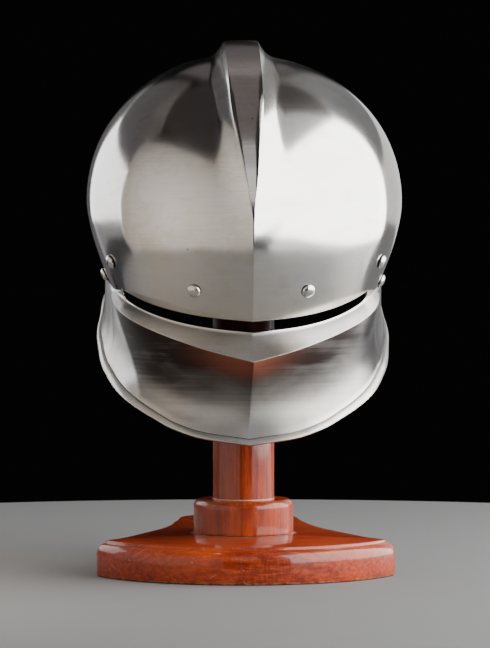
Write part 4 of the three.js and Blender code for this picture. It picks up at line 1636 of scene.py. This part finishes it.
@dataclass
class Studio:
    """The pale floor, the soft lights and the camera."""

    floor_radius: float = 0.62
    floor_level: float = -0.0002
    floor_steps: int = 96
    floor_tone: float = 0.14
    floor_tints: tuple[Triple, Triple] = ((0.97, 0.96, 0.95), (1.05, 1.04, 1.03))
    floor_mottle: Mottle = Mottle(30, 4, 0.6)
    floor_rough: float = 0.7
    room_tone: float = 0.002
    camera_distance: float = 2.6
    camera_height: float = 0.2561
    camera_azimuth: float = math.radians(-1.8)
    frame_pixels: Pair = (490, 648)
    focal_pixels: float = 3628
    horizon_row: float = 211
    axis_column: float = 243.5
    sensor: float = 36
    sees_to: float = 20
    # Name, azimuth, distance, start, end, bottom, top, glow, tint, spread.
    panels: tuple[Panel, ...] = (
        Panel("key_right", 75, 0.75, -0.77, 0.85, 0.03, 1.45, 8.5),
        Panel("key_low", 75, 0.75, -0.77, 0.85, -0.2, 0.03, 1.6),
        Panel("over_key", 75, 0.75, -0.4, 0.85, 1.45, 3.0, 0.8),
        Panel("fill_left", -60, 0.75, -0.74, 0.75, -0.2, 1.15, 0.62, (1, 0.92, 0.84), 130),
        Panel("strip_left", -133, 0.75, -0.2, 0.46, 0.2, 0.62, 3, (0.95, 0.97, 1)),
        Panel("over_strip", -133, 0.75, -0.4, 0.46, 0.62, 1.3, 0.12, (1, 0.95, 1)),
        Panel("under_strip", -133, 0.75, -0.2, 0.46, 0.08, 0.2, 0.33, (0.95, 0.97, 1)),
        Panel("low_left", -133, 0.75, -0.2, 0.46, -0.3, 0.08, 0.06, (0.95, 0.97, 1)),
        Panel("rear_left", -165, 1.1, 0, 0.4, 0, 0.8, 0.12, (1, 0.95, 1)),
        Panel("front_low", 0, 1.4, -0.25, 0.25, 0.42, 1.3, 1.1, (1, 0.98, 1)),
        Panel("front_high", 0, 1.4, -0.25, 0.25, 1.3, 2.6, 0.6, (1, 0.98, 1)),
        Panel("rear_top", 180, 1.4, -0.3, 0.3, 1.1, 2.8, 0.14, (1, 0.9, 0.93)),
        Panel("rear_right_low", 155, 1.1, -0.9, 0.2, -0.3, 0.17, 0.25, (0.97, 0.98, 1)),
        Panel("rear_right", 155, 1.1, -0.9, 0.2, 0.17, 0.6, 1.1, (0.97, 0.98, 1)),
        Panel("rear_right_high", 155, 1.1, -0.9, 0.2, 0.6, 1.6, 0.25, (0.97, 0.98, 1)),
    )
    # Name, side, back, height, width, depth, glow, tint, spread.
    overheads: tuple[Overhead, ...] = (
        Overhead("ceiling", 0, 0, 2.3, 3, 3, 0.045),
        Overhead("ceiling_right", 0.35, 0, 2.3, 1.3, 3, 0.1),
        Overhead("over_comb", 0, 0.3, 2.2, 0.5, 3, 0.14),
        Overhead("floor_left", -0.4, -0.15, 1.3, 0.36, 0.6, 2.0, (1, 0.86, 0.71), 24),
        Overhead("floor_right", 0.52, 0.13, 1.3, 0.25, 0.3, 10, (1, 0.97, 0.94), 20),
    )

    @staticmethod
    def lamp(light: Panel | Overhead, size: Pair, place: Triple, turn: Triple) -> None:
        """Adds one area light.

        Args:
            light: Its name, brightness, tint and spread.
            size: Its width and height.
            place: Where its middle is.
            turn: How it is turned.
        """
        data = bpy.data.lights.new(light.name, "AREA")
        data.shape = "RECTANGLE"
        data.size, data.size_y = size
        data.energy = light.glow * math.pi * data.size * data.size_y
        data.color = light.tint
        data.spread = math.radians(light.spread)
        lamp = bpy.data.objects.new(light.name, data)
        lamp.location, lamp.rotation_euler = place, turn
        bpy.context.scene.collection.objects.link(lamp)

    def light(self) -> None:
        """Hangs the panels and the overhead lights."""
        for panel in self.panels:
            a = math.radians(panel.azimuth)
            aside = (panel.start + panel.end) / 2
            place = (math.sin(a) * panel.distance + math.cos(a) * aside,
                     math.sin(a) * aside - math.cos(a) * panel.distance, (panel.bottom + panel.top) / 2)
            size = (panel.end - panel.start, panel.top - panel.bottom)
            self.lamp(panel, size, place, (math.pi / 2, 0, a))
        for lamp in self.overheads:
            self.lamp(lamp, (lamp.width, lamp.depth), (lamp.side, lamp.back, lamp.height), (0, 0, 0))

    def floor(self) -> bpy.types.Object:
        """Lays the pale round table top.

        Returns:
            The floor, which is no part of the object.
        """
        points = [(self.floor_radius * math.cos(a), self.floor_radius * math.sin(a), self.floor_level)
                  for a in np.linspace(0, 2 * math.pi, self.floor_steps, endpoint=False)]
        floor = new_mesh("floor", np.array(points), [tuple(range(self.floor_steps))])
        n = Nodes("pale_floor")
        darker, lighter = (tuple(self.floor_tone * c for c in tint) for tint in self.floor_tints)
        n.feed(Base_Color=n.blend(n.pattern(self.floor_mottle), darker, lighter))
        n.set(Roughness=self.floor_rough)
        floor.data.materials.append(n.material)
        return floor

    def camera(self) -> bpy.types.Object:
        """Sets the camera at the photo's angle.

        Returns:
            The scene's camera.
        """
        width, height = self.frame_pixels
        data = bpy.data.cameras.new("camera")
        data.sensor_width = self.sensor
        data.lens = self.focal_pixels / height * self.sensor
        data.clip_end = self.sees_to
        camera = bpy.data.objects.new("camera", data)
        a = self.camera_azimuth
        camera.location = (math.sin(a) * self.camera_distance, -math.cos(a) * self.camera_distance,
                           self.camera_height)
        down = math.atan((height / 2 - self.horizon_row) / self.focal_pixels)
        aside = math.atan((width / 2 - self.axis_column) / self.focal_pixels)
        camera.rotation_euler = (math.pi / 2 - down, 0, a - aside)
        bpy.context.scene.collection.objects.link(camera)
        bpy.context.scene.camera = camera
        return camera

    def backdrop(self) -> None:
        """Gives the room round the lights its plain dark tone."""
        world = bpy.data.worlds.new("room")
        world.use_nodes = True
        tone = (self.room_tone, self.room_tone, self.room_tone, 1)
        world.node_tree.nodes["Background"].inputs["Color"].default_value = tone
        bpy.context.scene.world = world

    def build(self) -> None:
        """Sets up the whole studio."""
        self.camera()
        self.backdrop()
        self.floor()
        self.light()


def main() -> None:
    """Builds every sub-assembly in order and reports each piece."""
    logging.basicConfig(level=logging.INFO, format="%(message)s")
    Studio().build()
    rivets = Rivets()
    pieces = [Skull().finish(rivets.drills()), *rivets.build(), *Stand().build()]
    for piece in pieces:
        LOG.info("%s: %d faces", piece.name, len(piece.data.polygons))


if __name__ == "__main__":
    main()
